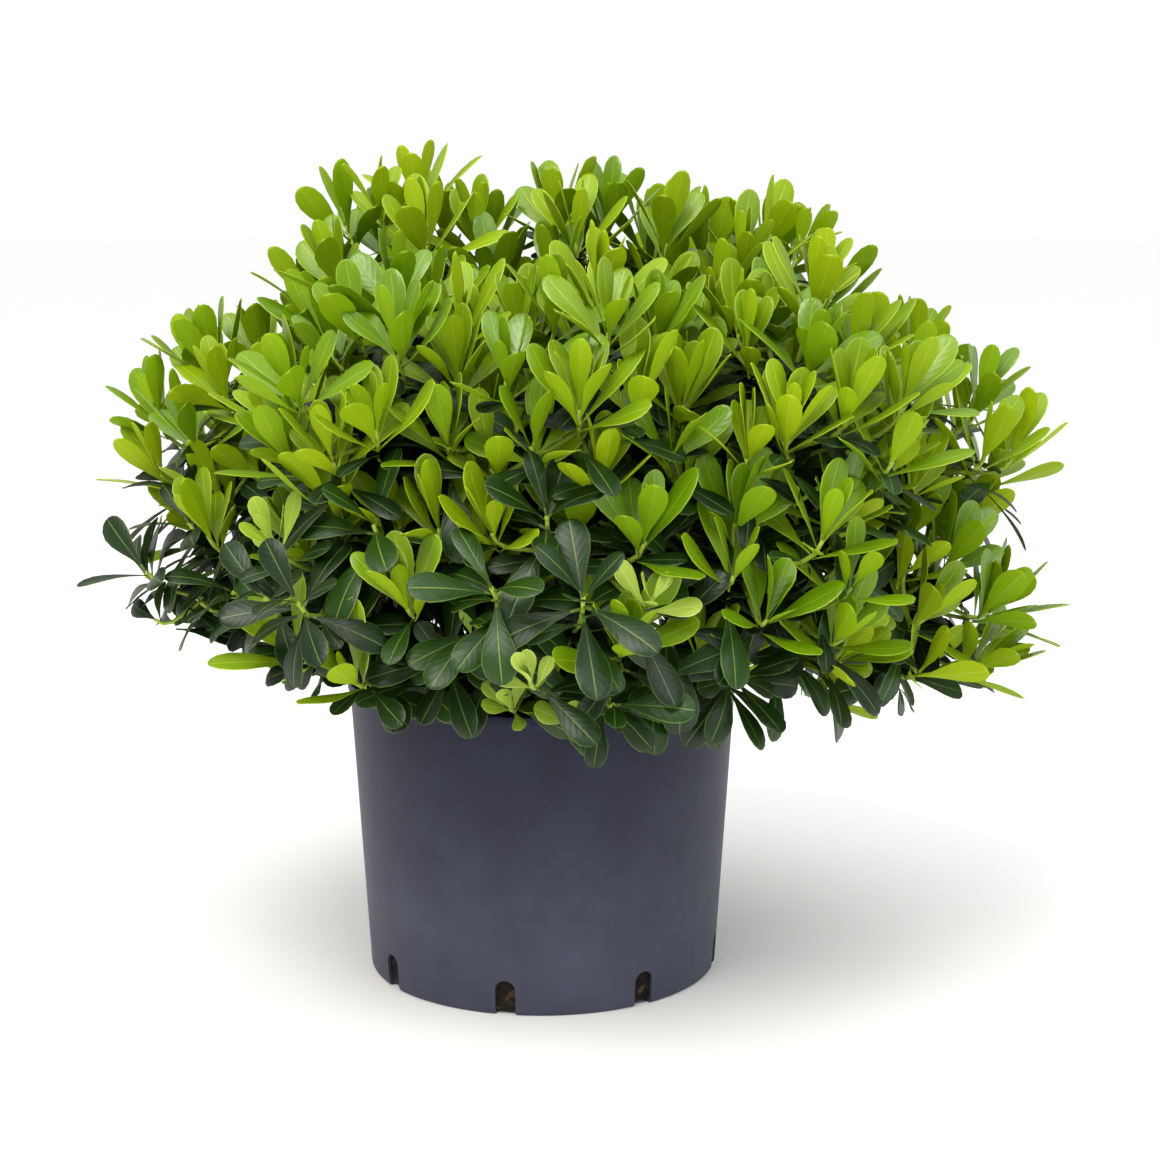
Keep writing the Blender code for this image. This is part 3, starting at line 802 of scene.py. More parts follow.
MASSES = (
    Mass("top_left", Vector((-0.087, 0.000, 0.466)), 0.120, "stem", 0.78, 1.0),
    Mass("top_centre", Vector((0.040, 0.005, 0.477)), 0.112, "stem", 1.00, 1.0),
    Mass("top_right", Vector((0.150, 0.000, 0.464)), 0.109, "stem", 0.70, 1.0),
    Mass("side_left", Vector((-0.207, 0.005, 0.378)), 0.113, "top_left", 0.35, 0.8),
    Mass("side_right", Vector((0.250, 0.005, 0.366)), 0.121, "stem", 0.60, 1.0),
    Mass("skirt_left", Vector((-0.212, -0.040, 0.292)), 0.108, "stem", 0.30, 0.2),
    Mass("skirt_right", Vector((0.262, -0.045, 0.264)), 0.102, "side_right", 0.32, 0.9),
    Mass("front_low_left", Vector((-0.100, -0.180, 0.302)), 0.114, "stem", 0.38, 0.34),
    Mass("front_low_centre", Vector((0.020, -0.212, 0.298)), 0.116, "stem", 0.22, 0.36),
    Mass("front_low_right", Vector((0.144, -0.172, 0.303)), 0.111, "stem", 0.54, 0.56),
    Mass("front_mid_left", Vector((-0.092, -0.140, 0.400)), 0.124, "front_mid_centre", 0.45, 0.95),
    Mass("front_mid_centre", Vector((0.032, -0.165, 0.412)), 0.124, "stem", 0.72, 1.0),
    Mass("front_mid_right", Vector((0.160, -0.140, 0.398)), 0.124, "front_mid_centre", 0.32, 1.0),
    Mass("back_low_left", Vector((-0.125, 0.170, 0.288)), 0.124, "stem", 0.50, 0.45),
    Mass("back_low_right", Vector((0.165, 0.170, 0.288)), 0.126, "stem", 0.42, 0.6),
    Mass("back_low_centre", Vector((0.020, 0.205, 0.292)), 0.118, "stem", 0.26, 0.45),
    Mass("back_mid_left", Vector((-0.080, 0.135, 0.402)), 0.126, "back_mid_right", 0.32, 0.95),
    Mass("back_mid_right", Vector((0.110, 0.145, 0.404)), 0.130, "stem", 0.66, 1.0),
)


@dataclass
class Limb:
    """A tapering limb as a row of points, each with its radius."""

    name: str
    points: list
    radii: list

    def place(self, share: float) -> tuple:
        """The piece of the limb, and the share along it, at a share of its length."""
        pairs = list(zip(self.points, self.points[1:]))
        left = share * sum((head - foot).length for foot, head in pairs)
        for index, (foot, head) in enumerate(pairs[:-1]):
            if left <= (head - foot).length:
                return index, left / (head - foot).length
            left -= (head - foot).length
        foot, head = pairs[-1]
        return len(pairs) - 1, min(1.0, left / (head - foot).length)

    def at(self, share: float) -> Vector:
        """The point at a share of the limb's length, 0 at its foot and 1 at its tip."""
        index, along = self.place(share)
        return self.points[index].lerp(self.points[index + 1], along)

    def radius_at(self, share: float) -> float:
        """The radius at a share of the limb's length."""
        index, along = self.place(share)
        return self.radii[index] + (self.radii[index + 1] - self.radii[index]) * along


@dataclass
class Shoot:
    """One growing point: the twig's start, its tip, the way it looks, its turn and its path."""

    start: Vector
    tip: Vector
    aim: Vector
    phase: float
    age: Age = Age.OLD
    path: list = field(default_factory=list)


@dataclass
class Fork:
    """Where a mass's twig divides into its shoots."""

    place: Vector
    shoots: list


@dataclass
class GrowthRule:
    """The source's rule for limbs, growing points and forks."""

    heart: Vector = field(default_factory=lambda: Vector((0.020, 0.0, 0.270)))
    underside_height: float = 0.182
    underside_start: float = 0.150
    underside_flare: float = 0.36
    underside_lean: float = 0.12
    tip_depth: float = 0.050
    tip_spacing: float = 0.0515
    tip_tries: int = 160
    tip_facing: float = 0.05
    tip_margin: float = 0.006
    tips_per_fork: int = 3
    fork_reach: float = 0.085
    shoot_length: float = 0.046
    fork_inset: float = 0.25
    upward_pull: float = 0.70
    low_pull: float = 0.44
    pull_low: float = 0.24
    pull_high: float = 0.36
    stem_foot: float = 0.1973
    stem_top: float = 0.285
    stem_flare: float = 0.010
    stem_lean: tuple = (0.006, -0.004)
    core_share: float = 0.41
    stand_off: float = 0.014
    bow: float = 0.12
    low_bow: float = -0.10
    low_height: float = 0.30
    leader_run: float = 0.012

    def underside(self, point: Vector) -> float:
        """Height of the crown's underside over a place: it rises outward and to the left."""
        beyond = max(0.0, math.hypot(point.x, point.y) - self.underside_start)
        return self.underside_height + self.underside_flare * beyond - self.underside_lean * point.x

    def room(self, mass: Mass, point: Vector) -> float:
        """How deep a point lies inside a mass's own space.

        Args:
            mass: The mass.
            point: A place in the crown.

        Returns:
            The depth in metres, negative outside the space.
        """
        offset = point - mass.centre
        room = min(mass.reach - offset.length, point.z - self.underside(point))
        power = offset.length_squared - mass.reach**2
        for other in MASSES:
            if other is mass:
                continue
            apart = other.centre - mass.centre
            other_power = (point - other.centre).length_squared - other.reach**2
            room = min(room, (other_power - power) / (2.0 * apart.length))
        return room

    def growing_points(self, mass: Mass, taken: list, spacing: float, depth: float, tries: int,
                       facing: float, margin: float) -> list:
        """Places of growing points on the outer side of a mass, evenly apart.

        Args:
            mass: The mass.
            taken: All places in use, which the new ones join.
            spacing: The least distance between two places.
            depth: How far inside the mass's reach they lie.
            tries: How many places are tried.
            facing: How far outward they look at least, as a cosine.
            margin: The room that they keep in the mass's own space.

        Returns:
            The new places.
        """
        places = []
        for index in range(tries):
            height = 1.0 - (2 * index + 1) / tries
            ring = math.sqrt(1.0 - height * height)
            turn = index * GOLDEN_ANGLE
            aim = Vector((ring * math.cos(turn), ring * math.sin(turn), height))
            place = mass.centre + aim * (mass.reach - depth)
            if aim.dot((place - self.heart).normalized()) < facing:
                continue
            if self.room(mass, place) < margin:
                continue
            if any((place - other).length < spacing for other in taken):
                continue
            places.append(place)
            taken.append(place)
        return places

    def forks(self, mass: Mass, places: list, rng: random.Random) -> list:
        """Join growing points in threes by nearness, each group at one fork.

        Args:
            mass: The mass that they belong to.
            places: The growing points.
            rng: The mass's own random draws.

        Returns:
            The forks with their shoots.
        """
        left = list(places)
        made = []
        while left:
            first = left.pop(0)
            group = [first]
            for other in sorted(left, key=lambda at: (at - first).length)[: self.tips_per_fork - 1]:
                if (other - first).length < self.fork_reach:
                    group.append(other)
                    left.remove(other)
            mean = sum(group, Vector()) / len(group)
            place = mean - (mean - self.heart).normalized() * self.shoot_length
            place = place.lerp(mass.centre, self.fork_inset)
            shoots = []
            for tip in group:
                shoots.append(Shoot(place, tip, self.aim(tip), rng.uniform(0.0, math.tau)))
            made.append(Fork(place, shoots))
        return made

    def aim(self, tip: Vector) -> Vector:
        """The way a growing point looks: outward, and the more upward the higher it is."""
        height = (tip.z - self.pull_low) / (self.pull_high - self.pull_low)
        pull = self.low_pull + (self.upward_pull - self.low_pull) * max(0.0, min(1.0, height))
        return (tip - self.heart).normalized().lerp(UP, pull).normalized()

    def stem(self) -> Limb:
        """The short stem: a flared foot on the mix, then a leaning taper."""
        neck = self.stem_foot + self.stem_flare
        points, radii = [], []
        for height, radius in (
            (self.stem_foot, 0.0150),
            (self.stem_foot + self.stem_flare * 0.25, 0.0132),
            (self.stem_foot + self.stem_flare * 0.6, 0.0112),
            (neck, 0.0100),
            ((neck + self.stem_top) / 2, 0.0084),
            (self.stem_top, 0.0068),
        ):
            share = max(0.0, (height - neck) / (self.stem_top - neck))
            points.append(Vector((self.stem_lean[0] * share, self.stem_lean[1] * share, height)))
            radii.append(radius)
        return Limb("stem", points, radii)

    def bough(self, mass: Mass, parent: Limb, steps: int) -> Limb:
        """One bough from its parent's heart in a bow to where it enters its mass.

        Args:
            mass: The mass that it carries.
            parent: The limb that it leaves.
            steps: How many points its bow is drawn with.

        Returns:
            The limb.
        """
        start = parent.at(mass.fork)
        radius = 0.0042 if parent.name == "stem" else 0.0034
        points, radii = [], []
        if mass.fork >= 1.0:
            radius = 0.0068
            onward = (parent.points[-1] - parent.points[-2]).normalized()
            points.append(start.copy())
            radii.append(radius)
            start = start + onward * self.leader_run
        bow = self.low_bow if mass.centre.z < self.low_height else self.bow
        run = mass.centre - start
        middle = start.lerp(mass.centre, 0.5) - UP * run.length * bow
        arrive = (mass.centre - middle).normalized()
        end = mass.centre - arrive * (mass.reach * self.core_share + self.stand_off)
        for step in range(steps):
            share = step / (steps - 1)
            bent = start.lerp(middle, share).lerp(middle.lerp(end, share), share)
            points.append(bent)
            radii.append(radius * (1.0 - 0.34 * share))
        return Limb(f"bough_{mass.name}", points, radii)

    def limbs(self) -> dict:
        """Every limb by name: the stem, then the boughs after what carries them."""
        grown = {"stem": self.stem()}
        waiting = list(MASSES)
        while waiting:
            mass = waiting.pop(0)
            if mass.parent in grown:
                grown[mass.name] = self.bough(mass, grown[mass.parent], 14)
            else:
                waiting.append(mass)
        return grown


# Joined meshes of many small things


class Sheaf:
    """Many small shapes gathered into one mesh."""

    def __init__(self, name: str, rimmed: bool) -> None:
        """Start an empty sheaf; the shapes of a rimmed one have a crisp rim where their skin ends."""
        self.name = name
        self.rimmed = rimmed
        self.corners: list = []
        self.faces: list = []
        self.skins: list = []
        self.spreads: list = []
        self.count = 0

    def add(self, corners: np.ndarray, faces: np.ndarray, skins: np.ndarray, spread: np.ndarray) -> None:
        """Lay in one shape.

        Args:
            corners: Its corners in their place.
            faces: Its triangles as rows of corner numbers.
            skins: The material number of each triangle.
            spread: Each corner's place on the flat of the shape's skin.
        """
        self.corners.append(corners)
        self.faces.append(faces + self.count)
        self.skins.append(skins)
        self.spreads.append(spread)
        self.count += len(corners)

    def bind(self, materials: list) -> bpy.types.Object:
        """Make one smooth mesh object of all that was laid in.

        Args:
            materials: The materials that the numbers stand for.

        Returns:
            The object, at the origin.
        """
        corners = np.concatenate(self.corners)
        faces = np.concatenate(self.faces)
        mesh = bpy.data.meshes.new(self.name)
        mesh.vertices.add(len(corners))
        mesh.vertices.foreach_set("co", corners.astype(np.float32).ravel())
        mesh.loops.add(len(faces) * 3)
        mesh.loops.foreach_set("vertex_index", faces.astype(np.int32).ravel())
        mesh.polygons.add(len(faces))
        mesh.polygons.foreach_set("loop_start", np.arange(0, len(faces) * 3, 3, dtype=np.int32))
        used = np.concatenate(self.skins)
        kept = sorted(set(used.tolist()))
        renumber = {old: new for new, old in enumerate(kept)}
        slots = np.array([renumber[skin] for skin in used.tolist()], dtype=np.int32)
        for skin in kept:
            mesh.materials.append(materials[skin])
        mesh.polygons.foreach_set("material_index", slots)
        mesh.polygons.foreach_set("use_smooth", np.ones(len(faces), dtype=bool))
        spread = np.concatenate(self.spreads)
        flat = mesh.uv_layers.new(name="skin")
        flat.uv.foreach_set("vector", spread[faces].astype(np.float32).ravel())
        mesh.update(calc_edges=True)
        mesh.validate()
        if self.rimmed:
            ends = np.zeros(len(mesh.edges) * 2, dtype=np.int32)
            mesh.edges.foreach_get("vertices", ends)
            on_rim = (spread[:, 0] == 0.0) | (spread[:, 0] == 1.0)
            crisp = mesh.attributes.new("sharp_edge", "BOOLEAN", "EDGE")
            crisp.data.foreach_set("value", on_rim[ends].reshape(-1, 2).all(axis=1))
        piece = bpy.data.objects.new(self.name, mesh)
        bpy.context.scene.collection.objects.link(piece)
        return piece


def tube_shape(points: list, radii: list, sides: int) -> tuple:
    """A closed round tube along a row of points.

    Args:
        points: The places along its heart.
        radii: The radius at each of them.
        sides: How many flats it has.

    Returns:
        Its corners, its triangles and each corner's place around and along it.
    """
    corners = []
    spread = []
    side = (points[1] - points[0]).orthogonal().normalized()
    for index, (place, radius) in enumerate(zip(points, radii)):
        before = points[max(0, index - 1)]
        after = points[min(len(points) - 1, index + 1)]
        along = (after - before).normalized()
        side = (side - along * side.dot(along)).normalized()
        across = along.cross(side)
        for step in range(sides):
            turn = math.tau * step / sides
            corners.append(place + (side * math.cos(turn) + across * math.sin(turn)) * radius)
            spread.append((step / sides, index / (len(points) - 1)))
    faces = []
    for ring in range(len(points) - 1):
        for step in range(sides):
            low = ring * sides + step
            next_low = ring * sides + (step + 1) % sides
            faces.append((low, next_low, next_low + sides))
            faces.append((low, next_low + sides, low + sides))
    first, last = len(corners), len(corners) + 1
    corners += [points[0], points[-1]]
    spread += [(0.5, 0.0), (0.5, 1.0)]
    top = (len(points) - 1) * sides
    for step in range(sides):
        faces.append((first, (step + 1) % sides, step))
        faces.append((last, top + step, top + (step + 1) % sides))
    return np.array([tuple(c) for c in corners]), np.array(faces), np.array(spread)


@dataclass(frozen=True)
class Blade:
    """One form of leaf: a spoon-shaped blade on a short stalk.

    It has unit length, its root at the origin, its tip along +Y and its upper face
    along +Z. Sizes are shares of the length.
    """

    slim: float
    arch: float
    twist: float = 0.0
    channel: float = 0.13
    roll: float = 0.06
    widest: float = 0.76
    stalk: float = 0.09
    rib: float = 0.038
    margin: float = 0.060
    keel: float = 0.012

    def rows(self) -> list:
        """Place along the blade and half width of each cross row, as shares."""
        made = [(0.0, self.stalk), (0.12, self.stalk * 1.1)]
        for share in (0.28, 0.45, 0.61, self.widest):
            swell = (share - 0.06) / (self.widest - 0.06)
            made.append((share, self.stalk + (1 - self.stalk) * math.sin(swell * math.pi / 2) ** 2.0))
        for turn in (32.0, 58.0, 80.0):
            angle = math.radians(turn)
            made.append((self.widest + (1 - self.widest) * math.sin(angle), math.cos(angle)))
        return made

    def bent(self, share: float, across: float, lift: float) -> tuple:
        """The place of a point of the flat blade on the arched and twisted one."""
        turn = self.twist * share
        side = across * math.cos(turn) - lift * math.sin(turn)
        rise = across * math.sin(turn) + lift * math.cos(turn)
        bow = self.arch * share
        if abs(self.arch) < 1e-4:
            return side, share, rise
        along = math.sin(bow) / self.arch + rise * math.sin(bow)
        return side, along, (math.cos(bow) - 1.0) / self.arch + rise * math.cos(bow)

    def shape(self) -> tuple:
        """The closed blade.

        Returns:
            Its corners, its triangles and the part of the leaf that each belongs to.
        """
        columns = (-1.0, self.margin - 1.0, -self.rib, self.rib, 1.0 - self.margin, 1.0)
        strips = (LeafPart.EDGE, LeafPart.UPPER, LeafPart.RIB, LeafPart.UPPER, LeafPart.EDGE)
        corners, faces, parts = [], [], []
        for share, width in self.rows():
            half = width * self.slim / 2
            for column in columns:
                rim = self.roll if abs(column) == 1.0 else 0.0
                lift = self.channel * abs(column) ** 1.6 - rim
                corners.append(self.bent(share, column * half, lift * half))
            corners.append(self.bent(share, -self.rib * half, -self.keel))
            corners.append(self.bent(share, self.rib * half, -self.keel))
        right = len(columns) - 1
        left_keel, right_keel, wide = right + 1, right + 2, right + 3
        for row in range(len(self.rows()) - 1):
            low, high = row * wide, (row + 1) * wide
            for strip, part in enumerate(strips):
                a, b = low + strip, low + strip + 1
                c, d = high + strip + 1, high + strip
                faces += [(a, b, c), (a, c, d)]
                parts += [LeafPart.RIB if row == 0 else part] * 2
            for a, b, part in (
                (left_keel, 0, LeafPart.UNDER),
                (right_keel, left_keel, LeafPart.RIB),
                (right, right_keel, LeafPart.UNDER),
            ):
                faces += [(low + a, low + b, high + b), (low + a, high + b, high + a)]
                parts += [part] * 2
        last = (len(self.rows()) - 1) * wide
        for column in range(right):
            faces.append((left_keel, column + 1, column))
            faces.append((last + left_keel, last + column, last + column + 1))
            parts += [LeafPart.RIB, LeafPart.EDGE]
        faces.append((left_keel, right_keel, right))
        faces.append((last + left_keel, last + right, last + right_keel))
        parts += [LeafPart.RIB, LeafPart.EDGE]
        return np.array(corners), np.array(faces), np.array([int(part) for part in parts])

    def spread(self) -> np.ndarray:
        """Each corner's place on the flat leaf: across from 0 to 1, along from 0 to 1."""
        columns = (-1.0, self.margin - 1.0, -self.rib, self.rib, 1.0 - self.margin, 1.0, -self.rib, self.rib)
        return np.array([(0.5 + column / 2, share) for share, _ in self.rows() for column in columns])

    def outline(self) -> list:
        """The bent leaf in seven points: above its stalk, then left and right three times."""
        points = [Vector(self.bent(0.20, 0.0, 0.0))]
        for share, width in ((0.46, 0.55), (0.74, 0.86), (0.95, 0.45)):
            half = width * self.slim / 2
            for side in (-1.0, 1.0):
                points.append(Vector(self.bent(share, side * half, self.channel * half * 0.6)))
        return points


@dataclass(frozen=True)
class LeafForm:
    """One modelled leaf, ready to be set many times."""

    outline: list
    corners: np.ndarray
    faces: np.ndarray
    parts: np.ndarray
    spread: np.ndarray


@dataclass
class LeafKind:
    """The leaves of one age: their forms, their sizes and their tints."""

    age: Age
    lengths: tuple
    slims: tuple
    arches: tuple
    tints: tuple
    first_tint: int = 0
    spacing: float = 0.016
    forms: list = field(default_factory=list)
    skins: list = field(default_factory=list)

    def prepare(self, rng: random.Random, count: int) -> None:
        """Model the forms and make the materials.

        Args:
            rng: The draws for the forms.
            count: How many forms there are.
        """
        for _ in range(count):
            slim = rng.uniform(*self.slims)
            blade = Blade(slim, rng.uniform(*self.arches), rng.uniform(-0.35, 0.35))
            self.forms.append(LeafForm(blade.outline(), *blade.shape(), blade.spread()))
        for number, tint in enumerate(self.tints):
            self.skins += tint.skins(f"{self.age.value} {number + 1}")


class Crown:
    """The limbs, twigs and leaves of the shrub."""

    forms_each = 8
    crossing_reach = 0.056
    turn_out = 0.45
    clumps = 11.0
    tufts = 19.0

    def __init__(self) -> None:
        """Prepare the rule, the leaf kinds and the limbs."""
        self.rule = GrowthRule()
        self.limbs = self.rule.limbs()
        self.rng = random.Random(7)
        self.kinds = {
            Age.FRESH: LeafKind(Age.FRESH, (0.054, 0.067), (0.30, 0.38), (-0.35, 0.30), FRESH_TINTS),
            Age.YOUNG: LeafKind(Age.YOUNG, (0.028, 0.042), (0.32, 0.42), (-0.30, 0.30), YOUNG_TINTS, len(FRESH_TINTS)),
            Age.OLD: LeafKind(Age.OLD, (0.056, 0.068), (0.32, 0.41), (0.15, 0.85), OLD_TINTS),
            Age.SHADED: LeafKind(Age.SHADED, (0.050, 0.060), (0.36, 0.44), (0.15, 0.85), PAINTED_SHADE_TINTS, len(OLD_TINTS)),
        }
        for kind in self.kinds.values():
            kind.prepare(self.rng, self.forms_each)
        self.middles = np.zeros((0, 3))
        self.skins_seen: list = []
        self.dropped = 0
        self.set_leaves = 0

    def clear_of_limbs(self, points: list, room: float) -> bool:
        """True where the points keep their room to every limb."""
        for limb in self.limbs.values():
            for foot, head, radius in zip(limb.points, limb.points[1:], limb.radii):
                run = head - foot
                for point in points:
                    share = max(0.0, min(1.0, (point - foot).dot(run) / run.length_squared))
                    if (foot + run * share - point).length < radius + room:
                        return False
        return True

    def clear_of_pot(self, point: Vector) -> bool:
        """True where a point is outside the pot and above its rim and filling."""
        beside = math.hypot(point.x, point.y)
        return beside > 0.1420 or point.z > 0.2145 or (beside < 0.132 and point.z > 0.205)

    def hem(self, point: Vector) -> float:
        """How low leaves hang over a place: in clumps, with the rim showing between them."""
        turn = math.atan2(point.y, point.x)
        lift = 0.55 + 0.3 * math.sin(self.clumps * turn + 0.8) + 0.2 * math.sin(self.tufts * turn)
        beside = max(0.0, min(1.0, (math.hypot(point.x, point.y) - 0.17) / 0.07))
        return self.rule.underside(point) - 0.010 + (0.058 - 0.040 * beside) * lift

    def within(self, point: Vector) -> bool:
        """True where a point stays in the reach of the masses."""
        if point.z < self.hem(point):
            return False
        return any((point - mass.centre).length < mass.reach + 0.008 for mass in MASSES)

    def set_leaf(self, sheaf: Sheaf, kind: LeafKind, tint: int, root: Vector, along: Vector,
                 axis: Vector, size: float) -> bool:
        """Set one leaf where it crosses nothing.

        Args:
            sheaf: The sheaf that it goes into.
            kind: Its kind.
            tint: The number of its tint.
            root: Where it grows from.
            along: The way to its tip.
            axis: The way of its shoot, which its upper face looks at.
            size: Its length.

        Returns:
            Whether there was room for it.
        """
        form = self.rng.choice(kind.forms)
        away = Vector((root.x - self.rule.heart.x, root.y - self.rule.heart.y, 0.0)).normalized()
        face = (axis - along * axis.dot(along)).normalized()
        face = (face + (away - along * away.dot(along)) * self.turn_out).normalized()
        turn = Matrix((along.cross(face), along, face)).transposed()
        outline = [root + turn @ (corner * size) for corner in form.outline]
        if not all(self.within(point) and self.clear_of_pot(point) for point in outline):
            return False
        if not self.clear_of_limbs(outline[1:], 0.0015):
            return False
        skin = BVHTree.FromPolygons(outline, [(0, 1, 2), (1, 3, 4, 2), (3, 5, 6, 4)])
        middle = np.array(sum(outline, Vector()) / len(outline))
        if len(self.middles):
            near = np.nonzero(np.linalg.norm(self.middles - middle, axis=1) < self.crossing_reach)[0]
            if any(skin.overlap(self.skins_seen[other]) for other in near):
                return False
        self.middles = np.vstack([self.middles, middle])
        self.skins_seen.append(skin)
        placed = form.corners @ (np.array(turn.transposed()) * size) + np.array(root)
        tints = form.parts + (kind.first_tint + tint) * len(LeafPart)
        sheaf.add(placed, form.faces, tints, form.spread)
        self.set_leaves += 1
        return True

    def try_leaf(self, sheaf, kind, tint, root, aim, turn, splay, droop, size) -> bool:
        """Set a leaf at a turn and splay about its shoot, shifting it a little where it won't fit."""
        side = aim.orthogonal().normalized()
        for attempt in range(4):
            shift = self.rng.uniform(-0.28, 0.28) * attempt / 2
            lean = splay + self.rng.uniform(-0.2, 0.2) * attempt / 2
            radial = Matrix.Rotation(turn + shift, 3, aim) @ side
            along = aim * math.cos(lean) + radial * math.sin(lean) - UP * droop
            if self.set_leaf(sheaf, kind, tint, root, along.normalized(), aim, size * (1 - 0.06 * attempt)):
                return True
        self.dropped += 1
        return False

    def rosette(self, sheaf: Sheaf, kind: LeafKind, shoot: Shoot, back: Vector, count: int,
                splays: tuple, droop: float, scale: float) -> None:
        """Set the leaves of one growing point at the golden angle, the outer ones first."""
        tint = self.rng.randrange(len(kind.tints))
        for index in range(count):
            inner = index / max(1, count - 1)
            splay = splays[1] + (splays[0] - splays[1]) * (1.0 - inner) ** 1.15 + self.rng.gauss(0.0, 0.10)
            size = self.rng.uniform(*kind.lengths) * scale * (1.0 - 0.26 * inner**2.4)
            size *= 1.0 - 0.30 * self.rng.random() ** 3
            root = shoot.tip + back * (1.0 - inner) * kind.spacing
            turn = shoot.phase + index * GOLDEN_ANGLE + self.rng.gauss(0.0, 0.14)
            self.try_leaf(sheaf, kind, tint, root, shoot.aim, turn, splay, droop * (1 - inner), size)


def curve_points(start: Vector, way: Vector, end: Vector, arrive: Vector, steps: int) -> list:
    """Points of a smooth path that leaves one way and arrives another."""
    run = (end - start).length
    first = start + way * run * 0.35
    second = end - arrive * run * 0.35
    points = []
    for step in range(steps):
        t = step / (steps - 1)
        u = 1 - t
        points.append(start * u**3 + first * 3 * u * u * t + second * 3 * u * t * t + end * t**3)
    return points


class TwigSkin(IntEnum):
    """The two skins of a twig, by its age."""

    BARK = 0
    GREEN = 1


@dataclass
class BarkedLimb:
    """A limb drawn along its path, with leaf scars around it and fissures along it."""

    limb: Limb
    finish: bpy.types.Material
    ring: float = 1.1 * MM
    scar_gap: float = 19 * MM
    scar_width: float = 2.2 * MM
    scar_swell: float = 0.13
    sides: int = 9
    fissure: float = 1.5 * MM
    fissure_stretch: float = 7.0
    depth_share: float = 0.16

    def path(self) -> list:
        """Close points along the limb, each with its radius and its scars' swelling."""
        run = sum((b - a).length for a, b in zip(self.limb.points, self.limb.points[1:]))
        steps = max(12, int(run / self.ring))
        made = []
        for step in range(steps + 1):
            share = step / steps
            offset = (share * run + 0.5 * self.scar_gap) % self.scar_gap - 0.5 * self.scar_gap
            swell = self.scar_swell * math.exp(-((offset / self.scar_width) ** 2))
            made.append((self.limb.at(share), self.limb.radius_at(share) * (1.0 + swell)))
        return made

    def draw(self) -> bpy.types.Object:
        """Draw the path as a round line of changing thickness and turn it into a mesh."""
        line = bpy.data.curves.new("limb", "CURVE")
        line.dimensions = "3D"
        line.bevel_depth = 1.0
        line.bevel_resolution = self.sides
        line.use_fill_caps = True
        places = self.path()
        spline = line.splines.new("POLY")
        spline.points.add(len(places) - 1)
        for point, (place, radius) in zip(spline.points, places):
            point.co = (*place, 1.0)
            point.radius = radius
        piece = bpy.data.objects.new("limb", line)
        bpy.context.scene.collection.objects.link(piece)
        take_up(piece)
        bpy.ops.object.convert(target="MESH")
        return bpy.context.object

    def build(self, node: str) -> None:
        """Draw the limb, press the fissures into it and hand it over."""
        piece = self.draw()
        along = (self.limb.points[-1] - self.limb.points[0]).normalized()
        grain = bpy.data.objects.new("grain", None)
        grain.rotation_euler = along.to_track_quat("Z", "Y").to_euler()
        grain.scale = (1.0, 1.0, self.fissure_stretch)
        bpy.context.scene.collection.objects.link(grain)
        bpy.context.view_layer.update()
        cracks = bpy.data.textures.new("cracks", "CLOUDS")
        cracks.noise_scale = self.fissure
        cracks.noise_depth = 3
        relief = piece.modifiers.new("fissures", "DISPLACE")
        relief.texture = cracks
        relief.texture_coords = "OBJECT"
        relief.texture_coords_object = grain
        relief.mid_level = 0.62
        relief.strength = self.limb.radii[len(self.limb.radii) // 2] * self.depth_share * 2
        apply_modifiers(piece)
        bpy.data.objects.remove(grain, do_unlink=True)
        settle(piece, f"{node}_bark")
        bpy.ops.object.shade_smooth()
        piece.data.materials.clear()
        piece.data.materials.append(self.finish)
        hand_over(piece, Slot.BARK, node)


